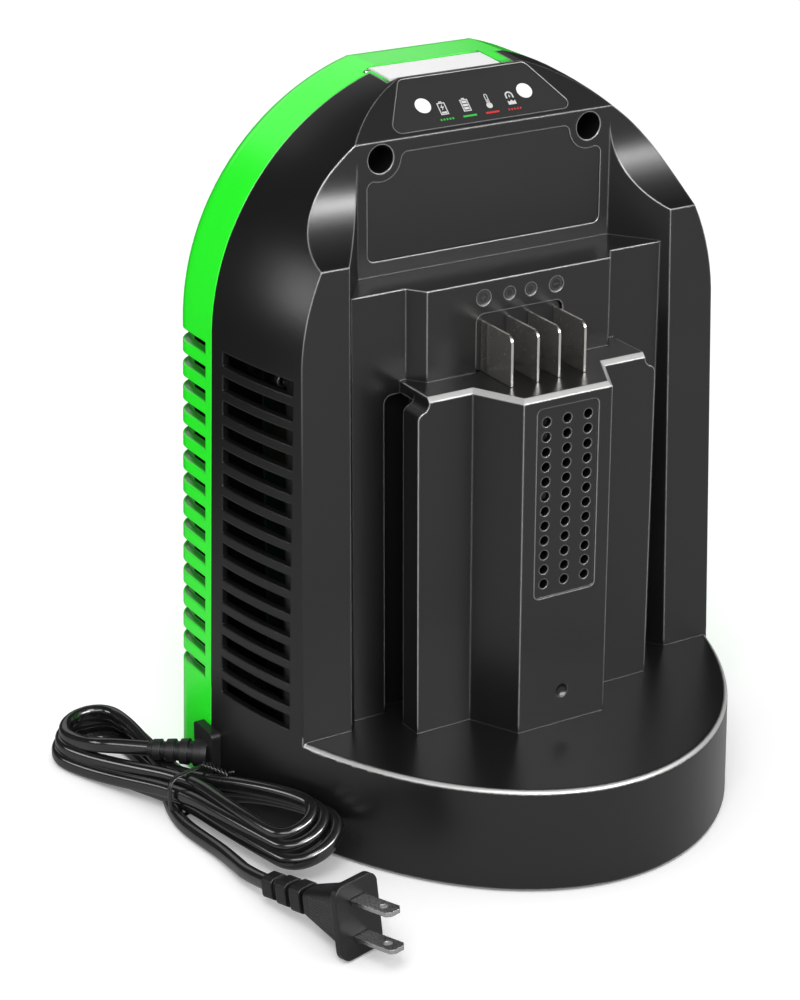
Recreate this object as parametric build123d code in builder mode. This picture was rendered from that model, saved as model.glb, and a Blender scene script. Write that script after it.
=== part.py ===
from build123d import *
from math import cos, hypot, pi, radians, sin, sqrt, tan
import os

os.makedirs("parts", exist_ok=True)

# A tower-shaped charger for a slide-on battery pack. Millimetres, +Z up, the front with the
# battery dock towards -Y. The origin is on the table, under the middle of the housing.

# ---------------------------------------------------------------- housing, overall form
foot_height = 1.0          # the rubber feet hold the housing this far off the table
body_depth = 156.7         # front of the round base to the rear wall
base_half_width = 94.6     # widest section at table level
tower_half_width = 89.5    # widest section where the round top begins, and the top's radius
crown_height = 166.0       # axis of the round top
top_height = 252.0
nose_reach = 136.7         # widest section to the front of the base
seam_setback = 10.0        # the seam of the two shells lies this far in front of the widest section
wall = 2.5
rear_edge_round = 11.0
seam_bevel = 0.5
shelf_round = 1.8

rear_y = body_depth / 2
widest_y = -body_depth / 2 + nose_reach
seam_y = widest_y - seam_setback
draft_slope = (base_half_width - tower_half_width) / crown_height
seam_scale = sqrt(1 - (seam_setback / nose_reach) ** 2)

# ---------------------------------------------------------------- housing, front side
shelf_height = 37.7        # top of the round base, where the battery stands
slope_top_y = 36.4         # sloping indicator panel, upper edge
slope_top_z = 251.0
slope_bottom_z = 235.6
label_y = 19.7             # upright label face
cove_top_z = 230.0         # the shoulders sweep forward below this height
pillar_top_y = 1.4
pillar_top_z = 201.7
pillar_foot_y = -1.6
ledge_z = 190.0            # top of the battery recess
recess_y = 4.2             # rear face of the battery recess
bay_rear_half_width = 49.5     # at the label face; the flanks open towards the front
bay_front_half_width = 65.0    # at the pillars' foot

# ---------------------------------------------------------------- battery dock
dock_top_z = 158.5
flange_front_y = -14.8
flange_thickness = 9.7
flange_half_width = 46.9
flange_shoulder_z = 150.8
cap_half_width = 42.6
cap_thickness = 4.0
neck_half_width = 36.0
nose_root_half_width = 26.1
nose_half_width = 17.3
nose_front_y = -32.0
dock_bevel = 1.6
rail_pocket_half_width = 48.6
rail_pocket_top_z = 154.2
rail_pocket_depth = 4.8
rail_pocket_round = 3.0
plate_front_y = -2.1       # raised plate above the dock, which carries the contacts
plate_half_width = 36.0
plate_root_half_width = 40.4

# ---------------------------------------------------------------- contacts
contact_x = (-14.3, -4.2, 4.2, 14.3)
contact_names = ("contact_positive", "contact_data_left", "contact_data_right", "contact_negative")
contact_thickness = 0.9
contact_height = 17.6
contact_reach = 17.8       # in front of the raised plate
contact_tail = 20.0        # behind the raised plate's face
contact_corner = 3.0
contact_lift = 0.15        # above the dock top
window_half_width = 17.0
window_height = 20.2
window_round = 3.0
holder_clearance = 0.3
holder_setback = 1.2       # its face behind the raised plate's face
holder_depth = 14.0
holder_flange = 3.0
holder_flange_thickness = 3.0
slot_clearance = 0.05

# ---------------------------------------------------------------- vents
slot_count = 15
slot_pitch = 8.54
slot_first_z = 43.5
slot_height = 5.2
slot_front_y = 4.6
slot_rear_y = 41.4
slot_shallow = 0.6         # depth at the slot's front end
slot_deep = 9.0            # depth at its rear end, right through the wall
louvre_start = 4.6         # behind the seam
louvre_depth = 1.9
louvre_lip = 1.3           # the groove narrows by this much on its way in
louvre_reach = 24.0        # along the rear wall
louvre_vent_height = 2.6
louvre_vent_length = 11.0
vent_columns = 3
vent_rows = 12
vent_pitch_x = 8.15
vent_pitch_z = 5.26
vent_radius = 1.65
vent_bottom_z = 91.2
vent_panel_half_width = 12.0
vent_panel_margin = 5.0
vent_panel_depth = 0.5
dimple_z = 49.7
dimple_radius = 3.2
dimple_depth = 1.2

# ---------------------------------------------------------------- label and indicator panel
label_half_width = 45.7
label_bottom_z = 195.3
label_top_z = 231.0
label_round = 2.4
label_recess = 0.8
label_notch_margin = 3.0   # round the screw wells
plate_thickness = 0.6
edge_clearance = 0.15
overlay_top_half_width = 24.5
overlay_bottom_half_width = 35.6
overlay_top = 0.9          # down the slope from its upper edge
overlay_bottom = 20.8
overlay_round = 2.6
overlay_recess = 0.6
overlay_thickness = 0.45
lens_x = 19.8
lens_down = 11.7
lens_radius = 3.0
lens_flange_radius = 4.2
lens_flange_thickness = 1.0
lens_clearance = 0.1
led_gap = 1.2
board_thickness = 1.6
led_board_width = 58.0
led_board_height = 14.0
led_post_x = 26.6
led_post_radius = 2.0

# ---------------------------------------------------------------- port cover and ports
cover_left_x = -26.8
cover_right_x = 16.2
cover_thickness = 1.6
cover_front_gap = 0.6      # lip of the front shell before the cover
tongue_margin = 0.8        # the rear shell's tongue, which carries the cover, beside the cover
tongue_relief = 4.5        # wider on the right, with a slanting relief beside the cover
tongue_thickness = 3.4
tongue_clearance = 0.12
cover_clearance = 0.3
cover_front_drop = 0.9     # the cover slopes down to the front by this much
cover_top_gap = 0.2        # below the top of the housing at the hinge
hinge_y = 50.4
barrel_radius = 1.3
trough_clearance = 0.5
pin_radius = 0.6
pin_clearance = 0.05
pin_overhang = 2.4
usb_a_x = -14.0
usb_a_size = (13.1, 5.7)
usb_c_x = 5.5
usb_c_size = (8.9, 3.3)
usb_shell = 0.3
usb_depth = 11.0
port_clearance = 0.25
port_sink = 0.6            # socket mouths below the bezel's face
bezel_left_x = -24.4
bezel_right_x = 13.8
bezel_front_y = 40.2
bezel_rear_y = 47.8
bezel_flange = 1.4
bezel_flange_thickness = 1.2
port_post_radius = 2.6
port_post_inset = 4.6
port_board_clearance = 1.2

# ---------------------------------------------------------------- fasteners and posts
screw_radius = 1.75
screw_head_radius = 3.4
screw_head_height = 2.4
screw_fit = 0.05           # in its thread, all round
hole_clearance = 0.3       # where the screw only passes
well_clearance = 1.4
post_wall = 2.2
well_floor = 3.0
top_screw_x = 40.6
top_screw_z = 229.8
side_screw_x = 74.0
side_screw_heights = (31.5, 176.0)
housing_screw_length = 16.0
base_thickness = 3.0
base_clearance = 0.3
base_screw_length = 10.0
base_head_height = 1.6
base_head_sink = 1.9
base_posts = ((-60.0, 8.0), (60.0, 8.0), (-33.0, -50.0), (33.0, -50.0))
rear_base_posts = ((-46.0, 71.0), (46.0, 71.0))
rear_base_post_top = 16.0
foot_radius = 8.0
foot_sink = 1.2
foot_places = ((-62.0, 52.0), (62.0, 52.0), (-42.0, -38.0), (42.0, -38.0))

# ---------------------------------------------------------------- inside
board_half_width = 64.0
board_bottom_z = 12.0
board_top_z = 152.0
board_y = 60.0             # front face of the main board
board_post_x = 57.0
board_post_heights = (22.0, 144.0)
board_post_radius = 4.0
board_screw_radius = 1.25
board_screw_head = 2.6
board_screw_length = 8.0
fan_size = 80.0
fan_depth = 15.0
fan_z = 105.0
fan_post_length = 6.0
fan_post_radius = 3.6
fan_bore = 76.0
fan_blades = 7
fan_hub_radius = 14.0
fan_tip_gap = 0.8
fan_axle_radius = 1.5
fan_axle_clearance = 0.06
fan_strut_width = 5.0
fan_strut_depth = 2.5
fan_hole_spacing = 71.5
fan_hole_radius = 2.15
fan_axial_gap = 0.6
blade_chords = (13.0, 16.0)        # at the hub and at the tip
blade_angles = (50.0, 60.0)
fan_blade_thickness = 1.4
transformer_place = (30.0, 40.0)   # x and z
core_size = (46.0, 38.0, 18.0)
core_leg = 14.0
core_yoke = 8.0
winding_depth = 30.0
capacitor_places = ((-44.0, 54.0), (-18.0, 54.0))
capacitor_radius = 11.0
capacitor_height = 26.0
heat_sink_place = (22.0, 84.0)
heat_sink_size = (26.0, 24.0, 50.0)
heat_sink_base = 3.0
fin_count = 7
fin_thickness = 1.6
transistor_heights = (91.0, 109.0, 127.0)
transistor_size = (4.5, 16.0, 10.0)
choke_place = (-42.0, 114.0)
choke_radius = 13.0
choke_hole = 6.0
choke_height = 12.0
choke_turns = 18
fuse_place = (-44.0, 34.0)
fuse_length = 22.0
fuse_radius = 2.6
fuse_lift = 4.6
connector_x = -44.0
connector_size = (14.0, 14.0, 12.0)
clamp_x = -83.0
clamp_size = (7.0, 20.0, 4.5)
clamp_screw_spacing = 13.0
clamp_bite = 0.05

# ---------------------------------------------------------------- mains cord and plug
cord_diameter = 4.2
relief_z = 15.0
relief_turn = 40.0         # degrees that the boot points backwards
relief_flange_size = (14.0, 20.0)
relief_flange_thickness = 3.0
relief_neck_radius = 4.4
relief_neck_clearance = 0.3
relief_root_radius = 5.2
relief_tip_radius = 3.4
relief_length = 20.0
relief_rings = 4
relief_ring_depth = 0.9
hank_height = 13.0
hank_rear = (-120.0, 92.0)     # centre of the rear loop
hank_front = (-94.0, -22.0)     # centre of the front loop
hank_rear_half_width = 15.5
hank_front_half_width = 13.5
hank_waist_half_width = 10.3
hank_edge_round = 3.0
tie_share = 0.50               # of the way from the rear loop to the front one
tie_width = 2.2
tie_thickness = 0.9
tie_tail_length = 14.0
plug_face = (-102.5, -72.0, 13.6)     # centre of the plug's front face
plug_turn = 14.0           # degrees from straight forwards, towards +X
plug_tilt = 8.0            # degrees nose-up
plug_flange_size = (18.0, 26.0)
plug_flange_thickness = 2.5
plug_body_size = (14.0, 20.0)
plug_body_length = 19.0
plug_neck_size = (9.0, 9.5)
plug_relief_length = 21.5
plug_relief_end = (7.0, 7.4)
plug_rings = 3
plug_ring_depth = 1.0
blade_spacing = 12.7
blade_width = 6.35
blade_thickness = 1.5
blade_length = 17.5
blade_root = 6.0
blade_hole_radius = 1.55
blade_hole_back = 5.2

reach = 400.0              # longer than anything in the model


# ================================================================ shared forms
def half_width_at(z):
    # half width of the widest section: drafted below the crown
    return base_half_width - draft_slope * z


def crown_drop(half_width, x):
    # height of the round top above its axis, x off the middle
    return sqrt(half_width**2 - x**2)


def write(part, name):
    part.label = name
    export_step(part, f"parts/{name}.step")


def front_outline(half_width, nose):
    # half ellipse in plan, cut off square at the seam
    with Locations((0, widest_y)):
        Ellipse(half_width, nose)
    with Locations((0, seam_y)):
        Rectangle(reach, reach, align=(Align.CENTER, Align.MIN), mode=Mode.SUBTRACT)


def grow(amount):
    if amount > 0:
        offset(amount=amount, kind=Kind.INTERSECTION)


def pillar_y(z):
    return pillar_foot_y + (pillar_top_y - pillar_foot_y) * (z - shelf_height) / (pillar_top_z - shelf_height)


flank_slope = (bay_front_half_width - bay_rear_half_width) / (label_y - pillar_foot_y)


def flank_x(y):
    return bay_rear_half_width + flank_slope * (label_y - y)


def side_profile_cut(growth):
    # everything in front of and above the side profile: top, slope, label face, cove, pillars, shelf
    with BuildPart() as cut:
        with BuildSketch(Plane.YZ):
            with BuildLine():
                Polyline((seam_y + wall, top_height), (seam_y, top_height), (slope_top_y, slope_top_z),
                         (label_y, slope_bottom_z), (label_y, cove_top_z))
                TangentArc((label_y, cove_top_z), (pillar_top_y, pillar_top_z), tangent=(0, -1))
                Polyline((pillar_top_y, pillar_top_z), (pillar_foot_y, shelf_height), (-reach, shelf_height),
                         (-reach, reach), (seam_y + wall, reach), (seam_y + wall, top_height))
            make_face()
            grow(growth)
        extrude(amount=reach / 2, both=True)
    return cut.part


def bay_cut(rear_plane_y, low_z, high_z, growth):
    # upright pocket between the two flanks, as deep as rear_plane_y
    front_y = pillar_foot_y - 30
    with BuildPart() as cut:
        with BuildSketch(Plane.XY.offset(low_z)):
            with BuildLine():
                Polyline((-flank_x(rear_plane_y), rear_plane_y), (flank_x(rear_plane_y), rear_plane_y),
                         (flank_x(front_y), front_y), (-flank_x(front_y), front_y), close=True)
            make_face()
            grow(growth)
        extrude(amount=high_z - low_z)
    return cut.part


def rail_pocket(growth):
    # upright slots behind the dock's flange, where the battery's rails run
    with BuildPart() as pocket:
        with BuildSketch(Plane.XZ.offset(-recess_y - rail_pocket_depth - growth)):
            with Locations((0, shelf_height)):
                Rectangle(2 * rail_pocket_half_width, rail_pocket_top_z - shelf_height,
                          align=(Align.CENTER, Align.MIN))
            fillet(vertices().group_by(Axis.Y)[-1], rail_pocket_round)
            grow(growth)
            Rectangle(2 * (neck_half_width - growth), reach * 2, mode=Mode.SUBTRACT)
        extrude(amount=rail_pocket_depth + growth + 1)
    return pocket.part


def dock_block(inset, rear):
    # raised plate, neck and nose of the dock, with their rear left open at the given plane
    base_z = shelf_height - (inset if inset else 1)
    with BuildPart() as block:
        with BuildSketch(Plane.XY.offset(base_z)):
            with BuildLine():
                Polyline((-neck_half_width + inset, rear), (-neck_half_width + inset, flange_front_y + inset),
                         (-nose_root_half_width + inset, flange_front_y + inset),
                         (-nose_half_width + inset, nose_front_y + inset),
                         (nose_half_width - inset, nose_front_y + inset),
                         (nose_root_half_width - inset, flange_front_y + inset),
                         (neck_half_width - inset, flange_front_y + inset), (neck_half_width - inset, rear),
                         close=True)
            make_face()
        extrude(amount=dock_top_z - inset - base_z)
        with BuildSketch(Plane.XY.offset(dock_top_z - inset - 1)):
            with BuildLine():
                Polyline((-plate_root_half_width + inset, rear), (-plate_root_half_width + inset, recess_y + inset),
                         (-plate_half_width + inset, plate_front_y + inset),
                         (plate_half_width - inset, plate_front_y + inset),
                         (plate_root_half_width - inset, recess_y + inset), (plate_root_half_width - inset, rear),
                         close=True)
            make_face()
        extrude(amount=ledge_z - dock_top_z + 1)
    return block.part


def front_form(inset):
    # the front shell's outer form, or with an inset its hollow
    with BuildPart() as form:
        for z in (foot_height, crown_height):
            with BuildSketch(Plane.XY.offset(z)):
                front_outline(half_width_at(z) - inset, nose_reach - inset)
        loft(ruled=True)
        with BuildSketch(Plane.XY.offset(crown_height)):
            front_outline(tower_half_width - inset, nose_reach - inset)
            Rectangle(reach, reach * 2, align=(Align.MAX, Align.CENTER), mode=Mode.SUBTRACT)
        revolve(axis=Axis((0, 0, crown_height), (0, -1, 0)), revolution_arc=180)
        add(side_profile_cut(inset), mode=Mode.SUBTRACT)
        add(bay_cut(label_y, ledge_z - inset, reach, inset), mode=Mode.SUBTRACT)
        add(bay_cut(recess_y, shelf_height - inset, ledge_z, inset), mode=Mode.SUBTRACT)
        add(rail_pocket(inset), mode=Mode.SUBTRACT)
    return form.part


def rear_form(inset):
    # the rear shell's outer form, or with an inset its hollow
    radius = tower_half_width * seam_scale - inset
    foot_half_width = half_width_at(foot_height) * seam_scale - inset
    top = top_height - inset
    flat_half_width = crown_drop(radius, top - crown_height)
    with BuildPart() as form:
        with BuildSketch(Plane.XZ.offset(-seam_y)):
            with BuildLine():
                Polyline((-radius, crown_height), (-foot_half_width, foot_height), (foot_half_width, foot_height),
                         (radius, crown_height))
                RadiusArc((radius, crown_height), (flat_half_width, top), -radius)
                Line((flat_half_width, top), (-flat_half_width, top))
                RadiusArc((-flat_half_width, top), (-radius, crown_height), -radius)
            make_face()
        extrude(amount=-(rear_y - inset - seam_y))
        rear_edges = form.faces().sort_by(Axis.Y)[-1].edges().sort_by(Axis.Z)[1:]
        fillet(rear_edges, rear_edge_round - inset)
    return form.part


# slope of the indicator panel, as a plane: X across, -Y down the slope, Z out of the panel
slope_run = slope_top_y - label_y
slope_drop = slope_top_z - slope_bottom_z
slope_length = hypot(slope_run, slope_drop)
slope_plane = Plane(origin=(0, slope_top_y, slope_top_z), x_dir=(1, 0, 0),
                    z_dir=(0, -slope_drop / slope_length, slope_run / slope_length))

# port cover: its top runs from the hinge down to the front
hinge_z = top_height - cover_top_gap - barrel_radius
tongue_front_y = slope_top_y + cover_front_gap
cover_front_y = tongue_front_y + cover_clearance
cover_top_front_z = top_height - cover_top_gap - cover_front_drop
bezel_top_z = cover_top_front_z - cover_thickness - cover_clearance
tongue_bottom_z = bezel_top_z - tongue_thickness
tongue_left_x = cover_left_x - cover_clearance - tongue_margin
tongue_right_x = cover_right_x + tongue_relief
tongue_rear_y = hinge_y + barrel_radius + trough_clearance + wall


def tongue_block(growth):
    with BuildPart() as block:
        with BuildSketch(Plane.XY.offset(tongue_bottom_z - growth)):
            with Locations((tongue_left_x - growth, tongue_front_y - growth)):
                Rectangle(tongue_right_x - tongue_left_x + 2 * growth, tongue_rear_y - tongue_front_y + growth,
                          align=(Align.MIN, Align.MIN))
        extrude(amount=reach / 4)
    return block.part


def cover_recess():
    # room for the port cover, its barrel and the pin's ends, cut from both shells
    with BuildPart() as cut:
        with BuildSketch(Plane.YZ.offset(cover_left_x - cover_clearance)):
            with BuildLine():
                Polyline((cover_front_y - cover_clearance, bezel_top_z), (hinge_y, bezel_top_z), (hinge_y, reach),
                         (cover_front_y - cover_clearance, reach), close=True)
            make_face()
            with Locations((hinge_y, hinge_z)):
                Circle(barrel_radius + trough_clearance)
            with Locations((hinge_y, hinge_z)):
                Rectangle(barrel_radius + trough_clearance, reach, align=(Align.MIN, Align.MIN))
        extrude(amount=cover_right_x - cover_left_x + 2 * cover_clearance)
        # slanting relief from the cover's right-hand edge up to the tongue's
        corner = Vector(cover_right_x, hinge_y - barrel_radius, top_height)
        front = Vector(cover_right_x, tongue_front_y - 1, cover_top_front_z)
        side = Vector(tongue_right_x, tongue_front_y - 1, top_height)
        relief = Plane(origin=corner, x_dir=front - corner, z_dir=(front - corner).cross(side - corner))
        with BuildSketch(relief):
            with BuildLine():
                Polyline(*[relief.to_local_coords(v) for v in (corner, front, side)], close=True)
            make_face()
        extrude(amount=3)
        with BuildSketch(Plane.YZ.offset(cover_left_x - pin_overhang)):
            with Locations((hinge_y, hinge_z)):
                Circle(pin_radius + pin_clearance)
        extrude(amount=cover_right_x - cover_left_x + 2 * pin_overhang)
    return cut.part


def bezel_outline(growth):
    with Locations((bezel_left_x - growth, bezel_front_y - growth)):
        Rectangle(bezel_right_x - bezel_left_x + 2 * growth, bezel_rear_y - bezel_front_y + 2 * growth,
                  align=(Align.MIN, Align.MIN))


def label_outline(shrink):
    with Locations((0, (label_bottom_z + label_top_z) / 2)):
        Rectangle(2 * label_half_width, label_top_z - label_bottom_z)
    with Locations((-top_screw_x, top_screw_z), (top_screw_x, top_screw_z)):
        Circle(well_radius() + label_notch_margin, mode=Mode.SUBTRACT)
    fillet(vertices(), label_round)
    if shrink > 0:
        offset(amount=-shrink, kind=Kind.INTERSECTION)


def overlay_outline(shrink):
    Polygon((-overlay_top_half_width, -overlay_top), (overlay_top_half_width, -overlay_top),
            (overlay_bottom_half_width, -overlay_bottom), (-overlay_bottom_half_width, -overlay_bottom), align=None)
    fillet(vertices(), overlay_round)
    if shrink > 0:
        offset(amount=-shrink, kind=Kind.INTERSECTION)


def strain_relief_hole():
    with BuildPart() as cut:
        with BuildSketch(Plane.YZ.offset(-half_width_at(relief_z) - wall)):
            with Locations((seam_y, relief_z)):
                Circle(relief_neck_radius + relief_neck_clearance)
        extrude(amount=3 * wall)
    return cut.part


def well_radius():
    return screw_head_radius + well_clearance


fan_front_y = recess_y + rail_pocket_depth + wall + fan_post_length
fan_rear_y = fan_front_y + fan_depth
base_top_z = foot_height + base_thickness


# ================================================================ front housing
front_outer = front_form(0)
front_hollow = front_form(wall)
dock_outer = dock_block(0, recess_y + wall)
dock_hollow = dock_block(wall, seam_y)
relief_cut = strain_relief_hole()

with BuildPart() as front_housing:
    add(front_outer)
    rim = front_housing.edges().filter_by_position(Axis.Z, shelf_height - 0.01, shelf_height + 0.01).sort_by(
        SortBy.LENGTH)[-1]
    fillet(rim, shelf_round)
    add(front_hollow, mode=Mode.SUBTRACT)
    add(dock_outer)
    # flange of the dock, with an ogee at its upper corners, and the cap over the rail pockets
    with BuildSketch(Plane.XZ.offset(-flange_front_y)):
        with BuildLine() as half:
            Line((0, shelf_height - 1), (flange_half_width, shelf_height - 1))
            Line((flange_half_width, shelf_height - 1), (flange_half_width, flange_shoulder_z))
            shoulder = (flange_half_width - 2.6, flange_shoulder_z + 3.0)
            TangentArc((flange_half_width, flange_shoulder_z), shoulder, tangent=(0, 1))
            TangentArc((cap_half_width, dock_top_z - dock_bevel), shoulder, tangent=(0, -1))
            Polyline((cap_half_width, dock_top_z - dock_bevel), (cap_half_width, dock_top_z), (0, dock_top_z))
            mirror(about=Plane.YZ)
        make_face()
    extrude(amount=-flange_thickness)
    with BuildSketch(Plane.XY.offset(dock_top_z - cap_thickness)):
        with Locations((0, flange_front_y + 1)):
            Rectangle(2 * cap_half_width, recess_y + wall - flange_front_y - 1, align=(Align.CENTER, Align.MIN))
    extrude(amount=cap_thickness)
    bevel_edges = front_housing.edges().filter_by_position(Axis.Z, dock_top_z - 0.01, dock_top_z + 0.01)
    bevel_edges = bevel_edges.filter_by(lambda e: e.center().Y < flange_front_y + 0.01)
    chamfer(bevel_edges, dock_bevel)
    # hollow of the dock, open to the tower
    add(dock_hollow, mode=Mode.SUBTRACT)
    # window for the contacts
    with BuildSketch(Plane.XZ.offset(-plate_front_y)):
        with Locations((0, dock_top_z)):
            Rectangle(2 * window_half_width, window_height, align=(Align.CENTER, Align.MIN))
        fillet(vertices().group_by(Axis.Y)[-1], window_round)
    extrude(amount=-2 * wall, mode=Mode.SUBTRACT)
    # round sunk fields for the terminal marks
    with BuildSketch(Plane.XZ.offset(-plate_front_y)):
        with Locations((contact_x[0], ledge_z - 5.7), (contact_x[3], ledge_z - 5.7)):
            Circle(2.7)
        with Locations((contact_x[1], ledge_z - 5.7), (contact_x[2], ledge_z - 5.7)):
            Circle(2.2)
    extrude(amount=-0.3, mode=Mode.SUBTRACT)
    # vent panel and holes on the nose, and the dimple below them
    with BuildSketch(Plane.XZ.offset(-nose_front_y)):
        vent_height = (vent_rows - 1) * vent_pitch_z
        with Locations((0, vent_bottom_z + vent_height / 2)):
            RectangleRounded(2 * vent_panel_half_width, vent_height + 2 * vent_panel_margin, 2.0)
    extrude(amount=-vent_panel_depth, mode=Mode.SUBTRACT)
    with BuildSketch(Plane.XZ.offset(-nose_front_y)):
        with Locations((0, vent_bottom_z + vent_height / 2)):
            with GridLocations(vent_pitch_x, vent_pitch_z, vent_columns, vent_rows):
                Circle(vent_radius)
    extrude(amount=-2 * wall, mode=Mode.SUBTRACT)
    with Locations((0, nose_front_y + dimple_depth - dimple_radius, dimple_z)):
        Sphere(dimple_radius, mode=Mode.SUBTRACT)
    # label recess round the two screw wells
    with BuildSketch(Plane.XZ.offset(-label_y)):
        label_outline(0)
    extrude(amount=-label_recess, mode=Mode.SUBTRACT)
    # recess of the indicator panel
    with BuildSketch(slope_plane):
        overlay_outline(0)
    extrude(amount=-overlay_recess, mode=Mode.SUBTRACT)
    with BuildSketch(slope_plane):
        with Locations((-lens_x, -lens_down), (lens_x, -lens_down)):
            Circle(lens_radius)
    extrude(amount=-2 * wall, mode=Mode.SUBTRACT)
    # posts for the indicator board, behind the slope
    with BuildSketch(slope_plane.offset(-wall)):
        with Locations((-led_post_x, -lens_down), (led_post_x, -lens_down)):
            Circle(led_post_radius)
    extrude(amount=-(lens_flange_thickness + led_gap + 2.0))
    # wells and posts of the two upper screws, which are driven from the front
    with BuildSketch(Plane.XZ.offset(-seam_y)):
        with Locations((-top_screw_x, top_screw_z), (top_screw_x, top_screw_z)):
            Circle(well_radius() + post_wall)
    extrude(amount=seam_y - label_y - wall)
    with BuildSketch(Plane.XZ.offset(-seam_y + well_floor)):
        with Locations((-top_screw_x, top_screw_z), (top_screw_x, top_screw_z)):
            Circle(well_radius())
    extrude(amount=seam_y - well_floor - label_y + 1, mode=Mode.SUBTRACT)
    with BuildSketch(Plane.XZ.offset(-seam_y)):
        with Locations((-top_screw_x, top_screw_z), (top_screw_x, top_screw_z)):
            Circle(screw_radius + hole_clearance)
    extrude(amount=well_floor, mode=Mode.SUBTRACT)
    # posts that take the side screws from the rear
    side_places = [(s * side_screw_x, z) for s in (-1, 1) for z in side_screw_heights]
    for x, z in side_places:
        front_end = pillar_y(z) + wall / 2 if z > shelf_height else pillar_foot_y - 6
        with BuildSketch(Plane.XZ.offset(-seam_y)):
            with Locations((x, z)):
                Circle(screw_radius + post_wall)
        extrude(amount=seam_y - front_end)
    with BuildSketch(Plane.XZ.offset(-seam_y)):
        with Locations(side_places):
            Circle(screw_radius + screw_fit)
    extrude(amount=housing_screw_length, mode=Mode.SUBTRACT)
    # posts for the base screws, under the shelf
    with BuildSketch(Plane.XY.offset(foot_height + base_thickness)):
        with Locations(base_posts):
            Circle(screw_radius + post_wall)
    extrude(amount=shelf_height - wall / 2 - foot_height - base_thickness)
    with BuildSketch(Plane.XY.offset(foot_height + base_thickness)):
        with Locations(base_posts):
            Circle(screw_radius + screw_fit)
    extrude(amount=base_screw_length, mode=Mode.SUBTRACT)
    # posts for the fan
    fan_places = [(sx * fan_hole_spacing / 2, fan_z + sz * fan_hole_spacing / 2) for sx in (-1, 1) for sz in (-1, 1)]
    with BuildSketch(Plane.XZ.offset(-fan_front_y)):
        with Locations(fan_places):
            Circle(fan_post_radius)
    extrude(amount=fan_post_length + wall / 2)
    with BuildSketch(Plane.XZ.offset(-fan_front_y)):
        with Locations(fan_places):
            Circle(screw_radius + screw_fit)
    extrude(amount=fan_post_length, mode=Mode.SUBTRACT)
    # cooling slots in the side walls: a ramp that deepens towards the rear
    for side in (-1, 1):
        for index in range(slot_count):
            z = slot_first_z + index * slot_pitch
            wide = half_width_at(min(z, crown_height))
            front_x = wide * sqrt(1 - ((widest_y - slot_front_y) / nose_reach) ** 2)
            rear_x = wide * sqrt(1 - ((widest_y - slot_rear_y) / nose_reach) ** 2)
            with BuildSketch(Plane.XY.offset(z - slot_height / 2)):
                with BuildLine():
                    Polyline((side * (front_x - slot_shallow), slot_front_y), (side * (front_x + wall), slot_front_y),
                             (side * (wide + wall), slot_rear_y), (side * (rear_x - slot_deep), slot_rear_y),
                             close=True)
                make_face()
            extrude(amount=slot_height, mode=Mode.SUBTRACT)
    # notch for the rear shell's tongue, and the cord's way out
    add(tongue_block(tongue_clearance), mode=Mode.SUBTRACT)
    add(relief_cut, mode=Mode.SUBTRACT)
write(front_housing.part, "front_housing")

# ================================================================ rear housing
rear_outer = rear_form(0)
rear_hollow = rear_form(wall)

# ports: the sockets stand on their board, mouths up
port_board_top_z = bezel_top_z - port_sink - usb_depth
port_post_y = bezel_rear_y + bezel_flange + port_post_radius + 0.3
port_posts = [(tongue_left_x + port_post_inset, port_post_y), (tongue_right_x - port_post_inset, port_post_y)]

with BuildPart() as tongue_form:
    add(front_outer)
    add(rear_outer)
    add(tongue_block(0), mode=Mode.INTERSECT)
tongue = tongue_form.part


def louvre_groove():
    # groove round the rear corner at the height of the lowest louvre, right-hand side
    half_width = half_width_at(slot_first_z) * seam_scale
    corner_x = half_width - rear_edge_round
    corner_y = rear_y - rear_edge_round
    outer = rear_edge_round + 1
    inner = rear_edge_round - louvre_depth
    half = slot_height / 2
    section = [(inner, -half + louvre_lip), (outer, -half), (outer, half), (inner, half - louvre_lip / 3)]
    with BuildPart() as groove:
        # along the side wall
        with BuildSketch(Plane.XZ.offset(-seam_y - louvre_start)):
            with BuildLine():
                Polyline(*[(corner_x + r, slot_first_z + z) for r, z in section], close=True)
            make_face()
        extrude(amount=-(corner_y - seam_y - louvre_start))
        # round the corner
        with BuildSketch(Plane.XZ.offset(-corner_y)):
            with BuildLine():
                Polyline(*[(corner_x + r, slot_first_z + z) for r, z in section], close=True)
            make_face()
        revolve(axis=Axis((corner_x, corner_y, 0), (0, 0, 1)), revolution_arc=90)
        # along the rear wall
        with BuildSketch(Plane.YZ.offset(corner_x - louvre_reach)):
            with BuildLine():
                Polyline(*[(corner_y + r, slot_first_z + z) for r, z in section], close=True)
            make_face()
        extrude(amount=louvre_reach)
        # vent slot through the wall at the groove's upper edge
        with BuildSketch(Plane.XY.offset(slot_first_z + half - louvre_lip / 3 - louvre_vent_height)):
            with Locations((half_width, seam_y + louvre_start + 1)):
                Rectangle(3 * wall, louvre_vent_length, align=(Align.CENTER, Align.MIN))
        extrude(amount=louvre_vent_height)
    return groove.part


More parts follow.
